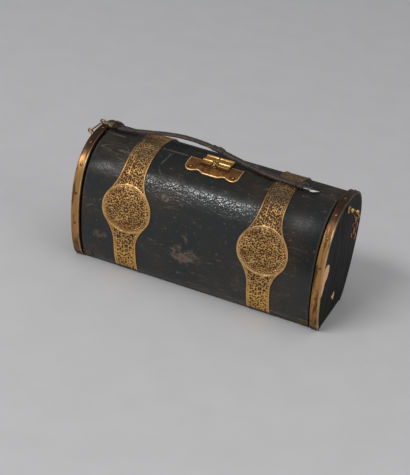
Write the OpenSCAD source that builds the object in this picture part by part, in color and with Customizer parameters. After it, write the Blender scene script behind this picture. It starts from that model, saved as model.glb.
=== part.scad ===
// Dressing box in the form of a small trunk: two gilt-bound end plates carry a fixed back and
// top rail, and the curved front cover swings down on two pins to show the fitted inside.
// X runs along the box, the front faces -Y and Z is up. The origin is the middle of the underside.

/* [Case] */
// Length over the outer faces of the end plates
case_length = 220; // [210:1:250]
// Height of the end plates
case_height = 109.7; // [104:0.1:118]
// Depth of the end plates where they are widest
case_depth = 91.2; // [86:0.1:100]
// Depth of the flat foot of the end plates
base_depth = 53.4; // [48:0.1:58]
// Height at which the end plates are widest
widest_height = 59.4; // [54:0.1:64]
// Squareness of the upper curve, where 2 is an ellipse
upper_squareness = 2.4; // [2.1:0.05:2.7]
// Squareness of the lower curve, where 2 is an ellipse
lower_squareness = 1.67; // [1.55:0.01:1.9]
// Thickness of each end plate
end_thickness = 7.1; // [6:0.1:9]
// How far the covers sit inside the outline of the end plates
skin_setback = 2; // [1.8:0.1:3]
// Thickness of the leather covering
leather = 1; // [0.8:0.1:1.4]
// Thickness of the curved wooden shells
shell = 4; // [3:0.1:5]
// Thickness of the fabric lining on the shells
lining = 1.4; // [1:0.1:2]
// Thickness of the base board
base_thickness = 6; // [5:0.1:8]
// Thickness of the leather under the base board
base_leather_thickness = 0.8; // [0.6:0.1:1.2]
// Distance of the front seam from the middle of the top
seam_offset = 5.6; // [4:0.1:8]
// Distance of the rail's back edge from the middle of the top
rail_back = 12; // [10:0.1:15]
// Thickness of the top rail at the middle
rail_thickness = 5.6; // [5:0.1:5.6]
// Gap between the front cover and the top rail
seam_gap = 0.4; // [0.3:0.05:0.8]
// Gap between the front cover and each end plate
end_gap = 1.6; // [1:0.1:2]

/* [End plates] */
// Thickness of the gilt band round each end plate
band_sheet = 0.9; // [0.7:0.1:1.2]
// Width of the band's lips, measured in from the outline
lip_width = 2.2; // [1.8:0.1:3]
// Thickness of the band's lips
lip_thickness = 0.7; // [0.6:0.1:1]
// Radius of the round nail heads in the band
nail_radius = 1.3; // [1:0.1:1.6]
// Distance of the end studs below the top of the end plates
stud_drop = 10.7; // [8.7:0.1:15.7]
// Radius of the stud's inner ball
stud_ball = 2.1; // [1.8:0.1:2.5]
// Radius of the stud's outer ball
stud_tip_ball = 1.9; // [1.6:0.1:2.3]

/* [Straps] */
// Width of the pierced straps
strap_width = 20; // [17:0.5:23]
// Outer radius of the medallions
medallion_radius = 21.8; // [20:0.1:24]
// Height of the medallions above the foot
medallion_height = 63.8; // [58:0.1:68]
// Distance between the middles of the two straps
strap_spacing = 119; // [112:0.5:126]
// How far the straps and the lock sit off the middle of the box
fittings_offset = -1.5; // [-3:0.1:3]
// Radius of the concave flare between strap and medallion
flare_radius = 34; // [24:0.5:40]
// Thickness of the strap sheet
strap_sheet = 0.8; // [0.6:0.1:1]
// Height of the raised rims on the straps
rim_height = 0.5; // [0.3:0.1:0.7]
// Width of the raised rims on the straps
rim_width = 1.5; // [1.2:0.1:2]

/* [Cover hinge] */
// Radius of the hinge pins
pin_radius = 1; // [0.8:0.05:1.2]
// Radial clearance of the pins in their knuckles
pin_clearance = 0.05; // [0.02:0.01:0.1]
// Radius of the barrel along the cover's lower edge
barrel_radius = 2.6; // [2.2:0.1:3]
// Height of the hinge pins above the foot
hinge_height = 4; // [3.5:0.1:5]
// Gap between the barrel and the base board
barrel_gap = 0.5; // [0.4:0.1:0.8]
// Length of each brass knuckle
knuckle_length = 8; // [6:0.5:12]
// Radius of the pins' heads
pin_head_radius = 1.6; // [1.4:0.1:1.6]

/* [Lock] */
// Width of the scalloped lock plate
lock_width = 47; // [42:0.5:52]
// Reach of the lock plate's middle lobe in front of the seam
lock_drop = 17.8; // [16:0.1:19]
// Thickness of the lock plate
lock_sheet = 1.3; // [1:0.1:1.4]
// Length of the raised lock case
lock_case_length = 24; // [20:0.5:28]
// Depth of the raised lock case
lock_case_depth = 6.4; // [6:0.1:8]
// Height of the lock case above the top of the leather
lock_case_height = 2; // [1.6:0.1:2.2]
// Radius of the rounded bars
bar_radius = 1.35; // [1.1:0.05:1.6]
// Distance between the two bars
bar_spacing = 8; // [7.8:0.1:9]
// Width of the push button
button_width = 5.4; // [4:0.1:7]
// Clearance round the push button
button_clearance = 0.15; // [0.1:0.05:0.3]
// Travel of the push button
button_travel = 1.2; // [0.8:0.1:1.2]
// Length of the tongue that enters the rail
tongue_length = 3; // [2:0.1:4]

/* [Handle] */
// Width of the leather handle
handle_width = 5; // [4:0.1:6]
// Thickness of the leather handle
handle_thickness = 2.2; // [1.8:0.1:3]
// Rise of the handle's arch over its ends
arch_rise = 10.2; // [8:0.1:12]
// Place of the top of the arch along the box
arch_at = -27; // [-36:1:-26]
// Length of the arch to the left of its top
arch_left = 74; // [62:1:76]
// Length of the arch to the right of its top
arch_right = 80; // [76:1:88]
// Length of the brass clip on the handle's end
clip_length = 8; // [6:0.5:10]
// Place along the box where the sound part of the handle ends
handle_end = 66; // [60:1:70]
// Length of the frayed end
frayed_length = 15; // [10:1:20]
// Angle at which the handle lies across the top
handle_skew = 2.3; // [1.5:0.1:3]
// Air between the handle and the straps it rests on
resting_gap = 0.9; // [0.8:0.05:1.2]

/* [Chain] */
// Radius of the chain's wire
wire = 0.55; // [0.5:0.05:0.6]
// Radius of the bends of the links, to the middle of the wire
bend_radius = 1.6; // [1.5:0.05:1.8]
// Straight length of the links between their bends
link_straight = 2.6; // [2.2:0.1:3]
// Radius of the eyes, to the middle of the wire
eye_radius = 1.9; // [1.8:0.05:2.2]
// Play between one wire and the next
link_play = 0.05; // [0.03:0.01:0.08]

/* [Fittings] */
// Width of the square scent bottles
bottle_width = 24; // [20:0.5:26]
// Height of the bottles' square bodies
bottle_height = 38; // [32:0.5:42]
// Distance from one bottle to the next
bottle_pitch = 28; // [28:0.5:30]
// Radius of the bottles' necks
neck_radius = 5; // [4:0.1:6]
// Height of the bottles' necks
neck_height = 4; // [3:0.1:5]
// Height of the stoppers above the neck
stopper_height = 9; // [7:0.1:10]
// Clearance of each fitting in its well
well_clearance = 0.3; // [0.25:0.05:0.5]
// Height of the fitted block above the base board
block_height = 17; // [15:0.5:19]
// Height of the wells' floors above the base board
well_floor = 5.2; // [4:0.1:6]
// Radius of the powder box
powder_radius = 19; // [17:0.5:20]
// Height of the powder box without its lid
powder_height = 22; // [18:0.5:26]
// Wall of the powder box
powder_wall = 1.6; // [1.2:0.1:2]
// Length of the comb
comb_length = 84; // [70:1:88]
// Height of the comb
comb_height = 30; // [24:1:32]
// Thickness of the comb
comb_thickness = 3; // [2.5:0.1:3.4]
// Width of the mirror in the cover
mirror_width = 84; // [70:1:96]
// Lower edge of the mirror above the foot
mirror_low = 42; // [38:1:46]
// Upper edge of the mirror above the foot
mirror_high = 84; // [78:1:86]
// Width of the mirror's frame
mirror_frame_width = 4; // [3:0.1:5]

/* [Hidden] */
$fn = 48;
CURVE_STEPS = 20;
RIGHT_ANGLE = 90;

// Half sizes and the insets of the layers, counted in from the outline of the end plates
half_length = case_length / 2;
half_depth = case_depth / 2;
half_base = base_depth / 2;
stud_height = case_height - stud_drop;
inner_face = half_length - end_thickness;
cover_half = inner_face - end_gap;
skin_inset = skin_setback;
board_inset = skin_inset + leather;
inner_inset = board_inset + shell;
lining_inset = inner_inset + lining;
strap_inset = skin_inset - strap_sheet;
rim_inset = strap_inset - rim_height;
lock_inset = skin_inset - lock_sheet;
skin_top = case_height - skin_inset;
strap_top = case_height - rim_inset;

// Small fixed details
OVERCUT = 1;
COVER_START_ANGLE = 12;
LINING_START_ANGLE = 8;
LEAF_START_ANGLE = 8;
LEAF_END_ANGLE = 27;
STRAP_START_ANGLE = 15;
LEAF_SHEET = 0.8;
FACE_LEATHER = 0.6;
NAIL_HEIGHT = 0.5;
NAIL_SHANK = 0.5;
NAIL_TAPER = 0.6;
NAIL_ANGLES = [34, 64, 95, 123, 151];
TOP_NAIL_ANGLE = 177;
LINING_SHEET = 0.7;
STUD_NECK = 0.9;
STUD_ROSE = 3.2;
STUD_ROSE_HEIGHT = 0.8;
STUD_REACH = 6.8;
HEAD_HEIGHT = 0.8;
PIN_SHORT = 0.5;
HINGE_SET_OUT = 0.3;
HOLE_PLAY = 0.03;
EYE_SINK = 0.4;
EYE_ANGLE = 45;
TONGUE_WIDTH = 10;
TONGUE_THICKNESS = 1.2;
TONGUE_RISE = 0.9;
TONGUE_PLAY = 0.4;
TONGUE_LIFT = 0.9;
PLATE_LOBE = 12.5;
SIDE_LOBE = 5.6;
SIDE_LOBE_DROP = 16;
LOCK_PIN_AT = 18.5;
LOCK_PIN_DROP = 12;
LOCK_PIN_HEAD = 1.1;
LOCK_PIN_DOME = 0.6;
BAR_SET_BACK = 0.3;
BUTTON_DEPTH = 3.2;
BUTTON_RISE = 2.9;
BUTTON_SIDESTEP = 0.7;
CATCH_DEPTH = 8;
CATCH_BREAK = 1.2;
KEEPER_LENGTH = 11;
KEEPER_SHEET = 1;
KEEPERS = [-3.5, 29];
CLIP_SHEET = 0.6;
CLIP_ARM = 1.8;
CLIP_ARM_WIDTH = 3;
CLIP_AIR = 0.5;
CLIP_EYE_REACH = 0.5;
FRAY_DROP = 2.2;
FRAY_SAG = 0.3;
FRAY_NARROWING = 1;
ANGLE_STEP = 0.5;
HANDLE_STEP = 5;
INSIDE_GAP = 0.3;
INSIDE_END_GAP = 0.2;
BLOCK_FRONT = 20.7;
WELL_MARGIN = 4;
BOTTLE_Y = -3;
POWDER_Y = 2;
COMB_Y = 14;
COMB_TEETH = 24;
COMB_BACK = 9;
RECESS_FRONT = 15;
PLUG_PLAY = 0.05;
PLUG_RADIUS = 3;
PLUG_LENGTH = 3.5;
NECK_LIP = 1;
STOPPER_COLLAR = 1;
BOX_FLOOR = 2;
LID_THICKNESS = 2.6;
LID_RIM = 2.4;
LID_RIM_WALL = 1.2;
LID_OVERHANG = 0.6;
KNOB_RADIUS = 2.4;
KNOB_RISE = 3.6;
MIRROR_SHEET = 1.4;
FRAME_SHEET = 2.2;

left_strap_x = fittings_offset - strap_spacing / 2;
right_strap_x = fittings_offset + strap_spacing / 2;

// Front hinge and the stations that the seam gives
hinge_y = -(half_base + HINGE_SET_OUT);
seam_y = -seam_offset;
cover_edge_y = seam_y - seam_gap;
rail_bottom = skin_top - leather - rail_thickness;
base_front = -hinge_y - barrel_radius - barrel_gap;

// Lock and catch
lock_x = fittings_offset;
tongue_z = top_z(-cover_edge_y, inner_inset) + TONGUE_RISE;
button_x = lock_x - BUTTON_SIDESTEP;
case_top = skin_top + lock_case_height;
case_back = cover_edge_y - seam_gap;
case_front = case_back - lock_case_depth;
bar_y = case_back - bar_radius - BAR_SET_BACK;
catch_y = bar_y + bar_spacing;
button_back = case_front + BUTTON_DEPTH;
button_floor = top_z(-button_back - button_travel, lock_inset) + button_clearance;

// Studs, eyes and chain
wire_pitch = 2 * wire + link_play;
link_pitch = 2 * bend_radius + link_straight - wire_pitch;
tip_x = half_length + STUD_REACH;
eye_offset = stud_tip_ball + eye_radius - EYE_SINK;
chain_top = stud_height - eye_offset - eye_radius;
left_eye = [-tip_x - eye_offset * cos(EYE_ANGLE),
            stud_height + eye_offset * sin(EYE_ANGLE)];

// Handle
handle_base = strap_top + resting_gap + handle_thickness / 2;
clip_end = -inner_face + handle_thickness / 2;
clip_start = clip_end + clip_length;
clip_eye = [-half_length + eye_radius - CLIP_EYE_REACH, case_height + eye_radius + wire + CLIP_AIR];
link_way = (clip_eye - left_eye) / norm(clip_eye - left_eye);
left_pivot = left_eye + (eye_radius - wire_pitch) * link_way;
clip_pivot = clip_eye - (eye_radius - wire_pitch) * link_way;
link_span = norm(clip_pivot - left_pivot);
link_lean = atan2(link_way[1], link_way[0]);

// Fitted inside
base_top = base_leather_thickness + base_thickness;
inside_inset = lining_inset + INSIDE_GAP;
inside_half = inner_face - LINING_SHEET - INSIDE_END_GAP;
floor_z = base_top + well_floor;
first_bottle = -inside_half + WELL_MARGIN + bottle_pitch / 2;
bottle_top = floor_z + bottle_height;
powder_x = first_bottle + 2.5 * bottle_pitch + powder_radius + WELL_MARGIN;
powder_top = floor_z + powder_height;
recess_start = powder_x + powder_radius + WELL_MARGIN;
comb_x = first_bottle + bottle_pitch;

// ---- Outline of the end plates and of every layer inside it ----
// Both curves are quarter superellipses. The lower one starts at the edge of the foot, the upper
// one ends at the middle of the top, and an inset shrinks both towards the inside.
function curve_y(turn, inset) =
  turn <= RIGHT_ANGLE
    ? half_base + (half_depth - inset - half_base) * pow(sin(turn), 2 / lower_squareness)
    : (half_depth - inset) * pow(max(cos(turn - RIGHT_ANGLE), 0), 2 / upper_squareness);
function curve_z(turn, inset) =
  turn <= RIGHT_ANGLE
    ? inset + (widest_height - inset) * (1 - pow(max(cos(turn), 0), 2 / lower_squareness))
    : widest_height + (case_height - inset - widest_height)
      * pow(sin(turn - RIGHT_ANGLE), 2 / upper_squareness);
// Turn at which the upper curve is a given distance from the middle
function turn_at(distance, inset) =
  RIGHT_ANGLE + acos(pow(distance / (half_depth - inset), upper_squareness / 2));
// Height of the upper curve at a given distance from the middle
function top_z(distance, inset) = curve_z(turn_at(distance, inset), inset);

// Turn at which either curve reaches a given height
function turn_at_height(z, inset) =
  z < widest_height
    ? acos(pow(1 - (z - inset) / (widest_height - inset), lower_squareness / 2))
    : RIGHT_ANGLE
      + asin(pow((z - widest_height) / (case_height - inset - widest_height), upper_squareness / 2));

// Turns from one end of a stretch to the other, on an even grid between them
function between(low, high) = [
  low,
  for (step = [1:2 * CURVE_STEPS - 1])
    let (turn = step * RIGHT_ANGLE / CURVE_STEPS)
      if (turn > low + ANGLE_STEP && turn < high - ANGLE_STEP) turn,
  high
];
function side_points(side, inset, low, high) =
  [for (turn = between(low, high)) [side * curve_y(turn, inset), curve_z(turn, inset)]];
function backwards(points) = [for (i = [len(points) - 1:-1:0]) points[i]];
function but_last(points) = [for (i = [0:len(points) - 2]) points[i]];
// A curve from the foot up one side, over the top and down the other side
function over_top(inset, front_low, back_low) = concat(
  side_points(-1, inset, front_low, 2 * RIGHT_ANGLE),
  backwards(but_last(side_points(1, inset, back_low, 2 * RIGHT_ANGLE)))
);

// A layer between two insets on one side: -1 is the front and 1 the back
module layer(side, outer, inner, low, outer_high, inner_high) {
  polygon(concat(
    side_points(side, outer, low, outer_high),
    backwards(side_points(side, inner, low, inner_high))
  ));
}

// A layer that starts at the front seam, runs over the top and down the back
module rear_layer(outer, inner, low, front_y) {
  polygon(concat(
    over_top(outer, turn_at(-front_y, outer), low),
    backwards(over_top(inner, turn_at(-front_y, inner), low))
  ));
}

// The whole outline at one inset, with a flat foot at a given height
module outline(inset, foot_z) {
  polygon(concat(
    [[-half_base, foot_z]],
    over_top(inset, 0, 0),
    [[half_base, foot_z]]
  ));
}

// The strip between the full outline and an inset, open along the foot
module rim(inset) {
  polygon(concat(over_top(0, 0, 0), backwards(over_top(inset, 0, 0))));
}

// Stands a section drawn in the Y-Z plane up along X, from one station to another
module along_x(from, to) {
  translate([from, 0, 0])
    rotate([RIGHT_ANGLE, 0, RIGHT_ANGLE])
      linear_extrude(to - from) children();
}

// Pushes an outline drawn in the X-Z plane through the box along Y
module through_y(from, to) {
  translate([0, to, 0])
    rotate([RIGHT_ANGLE, 0, 0])
      linear_extrude(to - from) children();
}

// Moves children to a turn of the curve on one side, with their +Z along the outward normal
module on_curve(side, turn, inset) {
  rise = curve_z(turn + ANGLE_STEP, inset) - curve_z(turn - ANGLE_STEP, inset);
  run = curve_y(turn + ANGLE_STEP, inset) - curve_y(turn - ANGLE_STEP, inset);
  mirror([0, side < 0 ? 1 : 0, 0])
    translate([0, curve_y(turn, inset), curve_z(turn, inset)])
      rotate([atan2(-run, rise) - RIGHT_ANGLE, 0, 0]) children();
}

// Draws children for the left end, or mirrored for the right end
module at_end(side) {
  mirror([side > 0 ? 1 : 0, 0, 0]) children();
}

// ---- End plates, drawn for the left end ----
module end_board(side) {
  color("saddlebrown") at_end(side)
    difference() {
      along_x(-half_length + lip_thickness, -inner_face - lip_thickness) outline(band_sheet, 0);
      along_x(-half_length, -inner_face) {
        translate([hinge_y, hinge_height]) circle(pin_radius + HOLE_PLAY);
        translate([0, stud_height]) circle(STUD_NECK + HOLE_PLAY);
      }
      band_nail_set(0);
    }
}

module end_band(side) {
  color("goldenrod") at_end(side)
    difference() {
      union() {
        along_x(-half_length, -inner_face) rim(band_sheet);
        along_x(-half_length, -half_length + lip_thickness) rim(lip_width);
        along_x(-inner_face - lip_thickness, -inner_face) rim(lip_width);
      }
      band_nail_set(0);
    }
}

// One nail of the band, as a plain shank or with a domed head
module band_nail(side, turn, head) {
  translate([-half_length + end_thickness / 2, 0, 0])
    on_curve(side, turn, 0) {
      translate([0, 0, -2 * band_sheet]) cylinder(r = NAIL_SHANK, h = 2 * band_sheet + NAIL_HEIGHT);
      if (head > 0) cylinder(r1 = head, r2 = head * NAIL_TAPER, h = NAIL_HEIGHT);
    }
}

// Nails at the same turns on the front and the back, and one more near the top
module band_nail_set(head) {
  band_nail(-1, TOP_NAIL_ANGLE, head);
  for (side = [-1, 1])
    for (turn = NAIL_ANGLES) band_nail(side, turn, head);
}

module band_nails() {
  color("gold")
    for (side = [-1, 1]) at_end(side) band_nail_set(nail_radius);
}

module end_leather(side) {
  color("black") at_end(side)
    difference() {
      along_x(-half_length + lip_thickness - FACE_LEATHER, -half_length + lip_thickness)
        outline(lip_width, 0);
      along_x(-half_length, -inner_face) {
        translate([hinge_y, hinge_height]) circle(pin_radius + HOLE_PLAY);
        translate([0, stud_height]) circle(STUD_NECK + HOLE_PLAY);
      }
    }
}

module end_lining(side) {
  color("firebrick") at_end(side)
    along_x(-inner_face, -inner_face + LINING_SHEET) outline(inside_inset, base_top);
}

module eye() {
  rotate([RIGHT_ANGLE, 0, 0]) rotate_extrude() translate([eye_radius, 0]) circle(wire);
}

// Stud with two balls on a rose
module stud(side) {
  face = half_length - lip_thickness + FACE_LEATHER;
  at_end(side) {
    translate([-face - STUD_ROSE_HEIGHT, 0, stud_height]) rotate([0, RIGHT_ANGLE, 0])
      cylinder(r = STUD_ROSE, h = STUD_ROSE_HEIGHT);
    translate([-tip_x, 0, stud_height]) rotate([0, RIGHT_ANGLE, 0])
      cylinder(r = STUD_NECK, h = STUD_REACH + end_thickness / 2);
    translate([-face - STUD_ROSE_HEIGHT - stud_ball + EYE_SINK, 0, stud_height]) sphere(stud_ball);
    translate([-tip_x, 0, stud_height]) sphere(stud_tip_ball);
  }
}

module left_stud() {
  color("gold") {
    stud(-1);
    translate([left_eye[0], 0, left_eye[1]]) eye();
  }
}

module right_stud() {
  color("gold") {
    stud(1);
    translate([tip_x, 0, stud_height - eye_offset]) eye();
  }
}

module hinge_pin(side) {
  face = half_length - lip_thickness + FACE_LEATHER;
  color("gold") at_end(side) translate([-face, hinge_y, hinge_height]) rotate([0, RIGHT_ANGLE, 0]) {
    cylinder(r = pin_radius, h = face - cover_half + knuckle_length - PIN_SHORT);
    translate([0, 0, -HEAD_HEIGHT]) cylinder(r = pin_head_radius, h = HEAD_HEIGHT);
  }
}

// ---- Fixed case ----
module base_board() {
  color("saddlebrown")
    translate([-inner_face, -base_front, base_leather_thickness])
      cube([2 * inner_face, base_front + half_base, base_thickness]);
}

module base_leather() {
  color("black")
    translate([-inner_face, -base_front, 0])
      cube([2 * inner_face, base_front + half_base, base_leather_thickness]);
}

module back_board() {
  color("saddlebrown")
    along_x(-inner_face, inner_face)
      difference() {
        rear_layer(board_inset, inner_inset, 0, seam_y);
        translate([-half_depth, 0]) square([half_depth + rail_back, case_height]);
      }
}

module back_leather() {
  color("black")
    along_x(-inner_face, inner_face) rear_layer(skin_inset, board_inset, 0, seam_y);
}

module back_lining() {
  color("firebrick")
    along_x(-inside_half, inside_half)
      layer(1, inner_inset, lining_inset, LINING_START_ANGLE,
            turn_at(rail_back, inner_inset), turn_at(rail_back, lining_inset));
}

module top_rail() {
  slot_low = tongue_z - TONGUE_PLAY;
  color("saddlebrown")
    difference() {
      along_x(-inner_face, inner_face)
        intersection() {
          polygon(concat(over_top(board_inset, turn_at(-seam_y, board_inset), 0), [[seam_y, 0]]));
          translate([seam_y, rail_bottom]) square([rail_back - seam_y, case_height]);
        }
      translate([lock_x - TONGUE_WIDTH / 2 - TONGUE_PLAY, seam_y - OVERCUT, slot_low])
        cube([TONGUE_WIDTH + 2 * TONGUE_PLAY, OVERCUT + tongue_length + TONGUE_PLAY,
              TONGUE_THICKNESS + 2 * TONGUE_PLAY + TONGUE_LIFT]);
    }
}

// ---- Straps ----
// Strap seen from the front: a band with a medallion, joined by concave flares
module strap_shape(x, half_width, radius, flare) {
  flare_x = half_width + flare;
  flare_z = sqrt(pow(radius + flare, 2) - pow(flare_x, 2));
  translate([x, 0]) {
    translate([-half_width, 0]) square([2 * half_width, case_height]);
    translate([0, medallion_height]) {
      circle(radius);
      for (up = [-1, 1])
        difference() {
          polygon([[0, 0], up * [flare_x, flare_z], up * [-flare_x, flare_z]]);
          for (across = [-1, 1]) translate([across * flare_x, up * flare_z]) circle(flare);
        }
    }
  }
}

// Hollow of a strap inside its rims and the medallion's ring
module strap_hollow(x) {
  difference() {
    strap_shape(x, strap_width / 2 - rim_width, medallion_radius - rim_width,
                flare_radius + rim_width);
    translate([x, medallion_height]) difference() {
      circle(medallion_radius);
      circle(medallion_radius - rim_width);
    }
  }
}

// Sheet cut out of the layer given as children, with its middle sunk below the rims
module strap(x) {
  color("goldenrod")
    difference() {
      intersection() {
        children();
        through_y(-half_depth, half_depth)
          strap_shape(x, strap_width / 2, medallion_radius, flare_radius);
      }
      intersection() {
        along_x(-half_length, half_length)
          difference() {
            outline(-OVERCUT, -OVERCUT);
            outline(strap_inset, -OVERCUT);
          }
        through_y(-case_depth, case_depth) strap_hollow(x);
      }
    }
}

module front_strap(x) {
  strap(x) along_x(-cover_half, cover_half) front_layer(rim_inset, skin_inset, STRAP_START_ANGLE);
}

module rear_strap(x) {
  strap(x) along_x(-inner_face, inner_face)
    rear_layer(rim_inset, skin_inset, STRAP_START_ANGLE, seam_y);
}

// ---- Front cover ----
module barrel_circle() {
  translate([hinge_y, hinge_height]) circle(barrel_radius);
}

module front_layer(outer, inner, low) {
  layer(-1, outer, inner, low, turn_at(-cover_edge_y, outer), turn_at(-cover_edge_y, inner));
}

module cover_board() {
  color("saddlebrown")
    difference() {
      union() {
        along_x(-cover_half, cover_half) front_layer(board_inset, inner_inset, 0);
        along_x(-cover_half + knuckle_length, cover_half - knuckle_length) barrel_circle();
      }
      for (side = [-1, 1]) at_end(side)
        along_x(-half_length, -cover_half + knuckle_length) barrel_circle();
    }
}

module cover_leather() {
  color("black")
    along_x(-cover_half, cover_half)
      difference() {
        front_layer(skin_inset, board_inset, COVER_START_ANGLE);
        barrel_circle();
      }
}

module cover_lining() {
  color("firebrick")
    along_x(-cover_half, cover_half) front_layer(inner_inset, lining_inset, LINING_START_ANGLE);
}

// Tube on the pin with a leaf that laps up over the leather
module knuckle(side) {
  color("goldenrod") at_end(side)
    difference() {
      union() {
        along_x(-cover_half, -cover_half + knuckle_length) barrel_circle();
        along_x(-cover_half, -cover_half + knuckle_length)
          layer(-1, skin_inset - LEAF_SHEET, skin_inset, LEAF_START_ANGLE,
                LEAF_END_ANGLE, LEAF_END_ANGLE);
      }
      along_x(-half_length, 0)
        translate([hinge_y, hinge_height]) circle(pin_radius + pin_clearance);
    }
}

// ---- Lock and catch ----
// Scalloped plate seen from above, with its top edge along the seam
module lock_outline() {
  back = -cover_edge_y + seam_gap;
  translate([lock_x, 0]) {
    translate([-lock_width / 2, -back - lock_drop + SIDE_LOBE])
      square([lock_width, lock_drop - SIDE_LOBE]);
    intersection() {
      translate([0, -back - lock_drop + PLATE_LOBE]) circle(PLATE_LOBE);
      translate([-PLATE_LOBE, -back - lock_drop]) square([2 * PLATE_LOBE, lock_drop]);
    }
    for (across = [-1, 1])
      translate([across * (lock_width / 2 - SIDE_LOBE), -back - SIDE_LOBE_DROP + SIDE_LOBE])
        circle(SIDE_LOBE);
  }
}

module lock_plate() {
  color("goldenrod")
    difference() {
      intersection() {
        along_x(-cover_half, cover_half) front_layer(lock_inset, skin_inset, RIGHT_ANGLE);
        linear_extrude(case_height) lock_outline();
      }
      lock_pin_places() cylinder(r = NAIL_SHANK + HOLE_PLAY, h = case_height);
    }
}

module lock_pin_places() {
  for (across = [-1, 1])
    translate([lock_x + across * LOCK_PIN_AT, cover_edge_y - LOCK_PIN_DROP, 0]) children();
}

module lock_pins() {
  distance = -cover_edge_y + LOCK_PIN_DROP;
  low = top_z(distance, skin_inset) + HOLE_PLAY + NAIL_SHANK / 2;
  high = top_z(distance - LOCK_PIN_HEAD, lock_inset) + HOLE_PLAY;
  color("gold") lock_pin_places() {
    translate([0, 0, low]) cylinder(r = NAIL_SHANK, h = high - low + LOCK_PIN_DOME / 2);
    translate([0, 0, high]) cylinder(r1 = LOCK_PIN_HEAD, r2 = LOCK_PIN_HEAD * NAIL_TAPER,
                                     h = LOCK_PIN_DOME);
  }
}

module bar(from, to, y) {
  translate([from, y, case_top]) rotate([0, RIGHT_ANGLE, 0]) cylinder(r = bar_radius, h = to - from);
}

module lock_case() {
  slot_half = button_width / 2 + button_clearance;
  color("goldenrod")
    difference() {
      union() {
        translate([lock_x - lock_case_length / 2, case_front, skin_top - lock_case_height])
          cube([lock_case_length, lock_case_depth, 2 * lock_case_height]);
        bar(lock_x - lock_case_length / 2, lock_x + lock_case_length / 2, bar_y);
      }
      along_x(-cover_half, cover_half) front_layer(lock_inset, inner_inset, RIGHT_ANGLE);
      translate([button_x - slot_half, case_front - OVERCUT, button_floor - button_clearance])
        cube([2 * slot_half, OVERCUT + BUTTON_DEPTH + button_travel + button_clearance, case_height]);
      translate([button_x - slot_half, case_front - OVERCUT, case_top])
        cube([2 * slot_half, lock_case_depth + 2 * OVERCUT, case_height]);
    }
}

// Arched push button, pressed backwards into the case
module push_button() {
  radius = button_width / 2;
  color("gold")
    through_y(case_front, button_back)
      translate([button_x, button_floor]) {
        translate([-radius, 0]) square([button_width, BUTTON_RISE - radius]);
        intersection() {
          translate([0, BUTTON_RISE - radius]) circle(radius);
          translate([-radius, 0]) square([button_width, BUTTON_RISE]);
        }
      }
}

module lock_tongue() {
  color("goldenrod")
    translate([lock_x - TONGUE_WIDTH / 2, cover_edge_y, tongue_z])
      cube([TONGUE_WIDTH, seam_gap + tongue_length, TONGUE_THICKNESS]);
}

module catch_plate() {
  start = lock_x - lock_case_length / 2;
  color("goldenrod")
    difference() {
      union() {
        translate([start, seam_y + seam_gap, skin_top - lock_case_height])
          cube([lock_case_length, CATCH_DEPTH, 2 * lock_case_height]);
        bar(start, start + lock_case_length, catch_y);
      }
      along_x(-inner_face, inner_face) outline(skin_inset, 0);
      translate([button_x - CATCH_BREAK / 2, seam_y, case_top])
        cube([CATCH_BREAK, CATCH_DEPTH + OVERCUT, case_height]);
    }
}

// ---- Mirror in the cover ----
// The mirror stands on the chord of the lining's curve between its lower and upper edges
mirror_foot = [-curve_y(turn_at_height(mirror_low, lining_inset), lining_inset), mirror_low];
mirror_head = [-curve_y(turn_at_height(mirror_high, lining_inset), lining_inset), mirror_high];
mirror_run = (mirror_head - mirror_foot) / norm(mirror_head - mirror_foot);
mirror_out = [mirror_run[1], -mirror_run[0]];

module mirror_section(margin, thickness) {
  foot = mirror_foot + margin * mirror_run;
  head = mirror_head - margin * mirror_run;
  polygon([foot, head, head + thickness * mirror_out, foot + thickness * mirror_out]);
}

module mirror_backing() {
  color("firebrick")
    along_x(-mirror_width / 2, mirror_width / 2)
      polygon(side_points(-1, lining_inset, turn_at_height(mirror_low, lining_inset),
                          turn_at_height(mirror_high, lining_inset)));
}

module mirror_glass() {
  color("silver")
    along_x(-mirror_width / 2 + mirror_frame_width, mirror_width / 2 - mirror_frame_width)
      mirror_section(mirror_frame_width, MIRROR_SHEET);
}

module mirror_frame() {
  color("goldenrod")
    difference() {
      along_x(-mirror_width / 2, mirror_width / 2) mirror_section(0, FRAME_SHEET);
      along_x(-mirror_width / 2 + mirror_frame_width, mirror_width / 2 - mirror_frame_width)
        mirror_section(mirror_frame_width, FRAME_SHEET + OVERCUT);
    }
}

// ---- Handle and chains ----
// Height of the middle of the leather at a station along the box
function handle_z(x) =
  let (
    reach = x < arch_at ? arch_left : arch_right,
    part = min(abs(x - arch_at) / reach, 1)
  )
    handle_base + arch_rise * pow(cos(RIGHT_ANGLE * part), 2);
function handle_line(from, to, lift) =
  let (steps = ceil((to - from) / HANDLE_STEP))
    [for (i = [0:steps]) let (x = from + (to - from) * i / steps) [x, handle_z(x) + lift]];

module handle_side(from, to, low, high) {
  polygon(concat(handle_line(from, to, low), backwards(handle_line(from, to, high))));
}

// Lays the handle slightly across the top, turning it about its clipped end
module skewed() {
  translate([clip_end, 0, 0]) rotate([0, 0, -handle_skew])
    translate([-clip_end, 0, 0]) children();
}

module handle_body() {
  through_y(-handle_width / 2, handle_width / 2)
    handle_side(clip_end + CLIP_SHEET, handle_end, -handle_thickness / 2, handle_thickness / 2);
}

module handle_strap() {
  color("dimgray") skewed() handle_body();
}

module handle_keepers() {
  side = handle_width / 2;
  color("dimgray") skewed()
    for (middle = KEEPERS)
      difference() {
        through_y(-side - KEEPER_SHEET, side + KEEPER_SHEET)
          handle_side(middle - KEEPER_LENGTH / 2, middle + KEEPER_LENGTH / 2,
                      -handle_thickness / 2, handle_thickness / 2 + KEEPER_SHEET);
        handle_body();
      }
}

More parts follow.
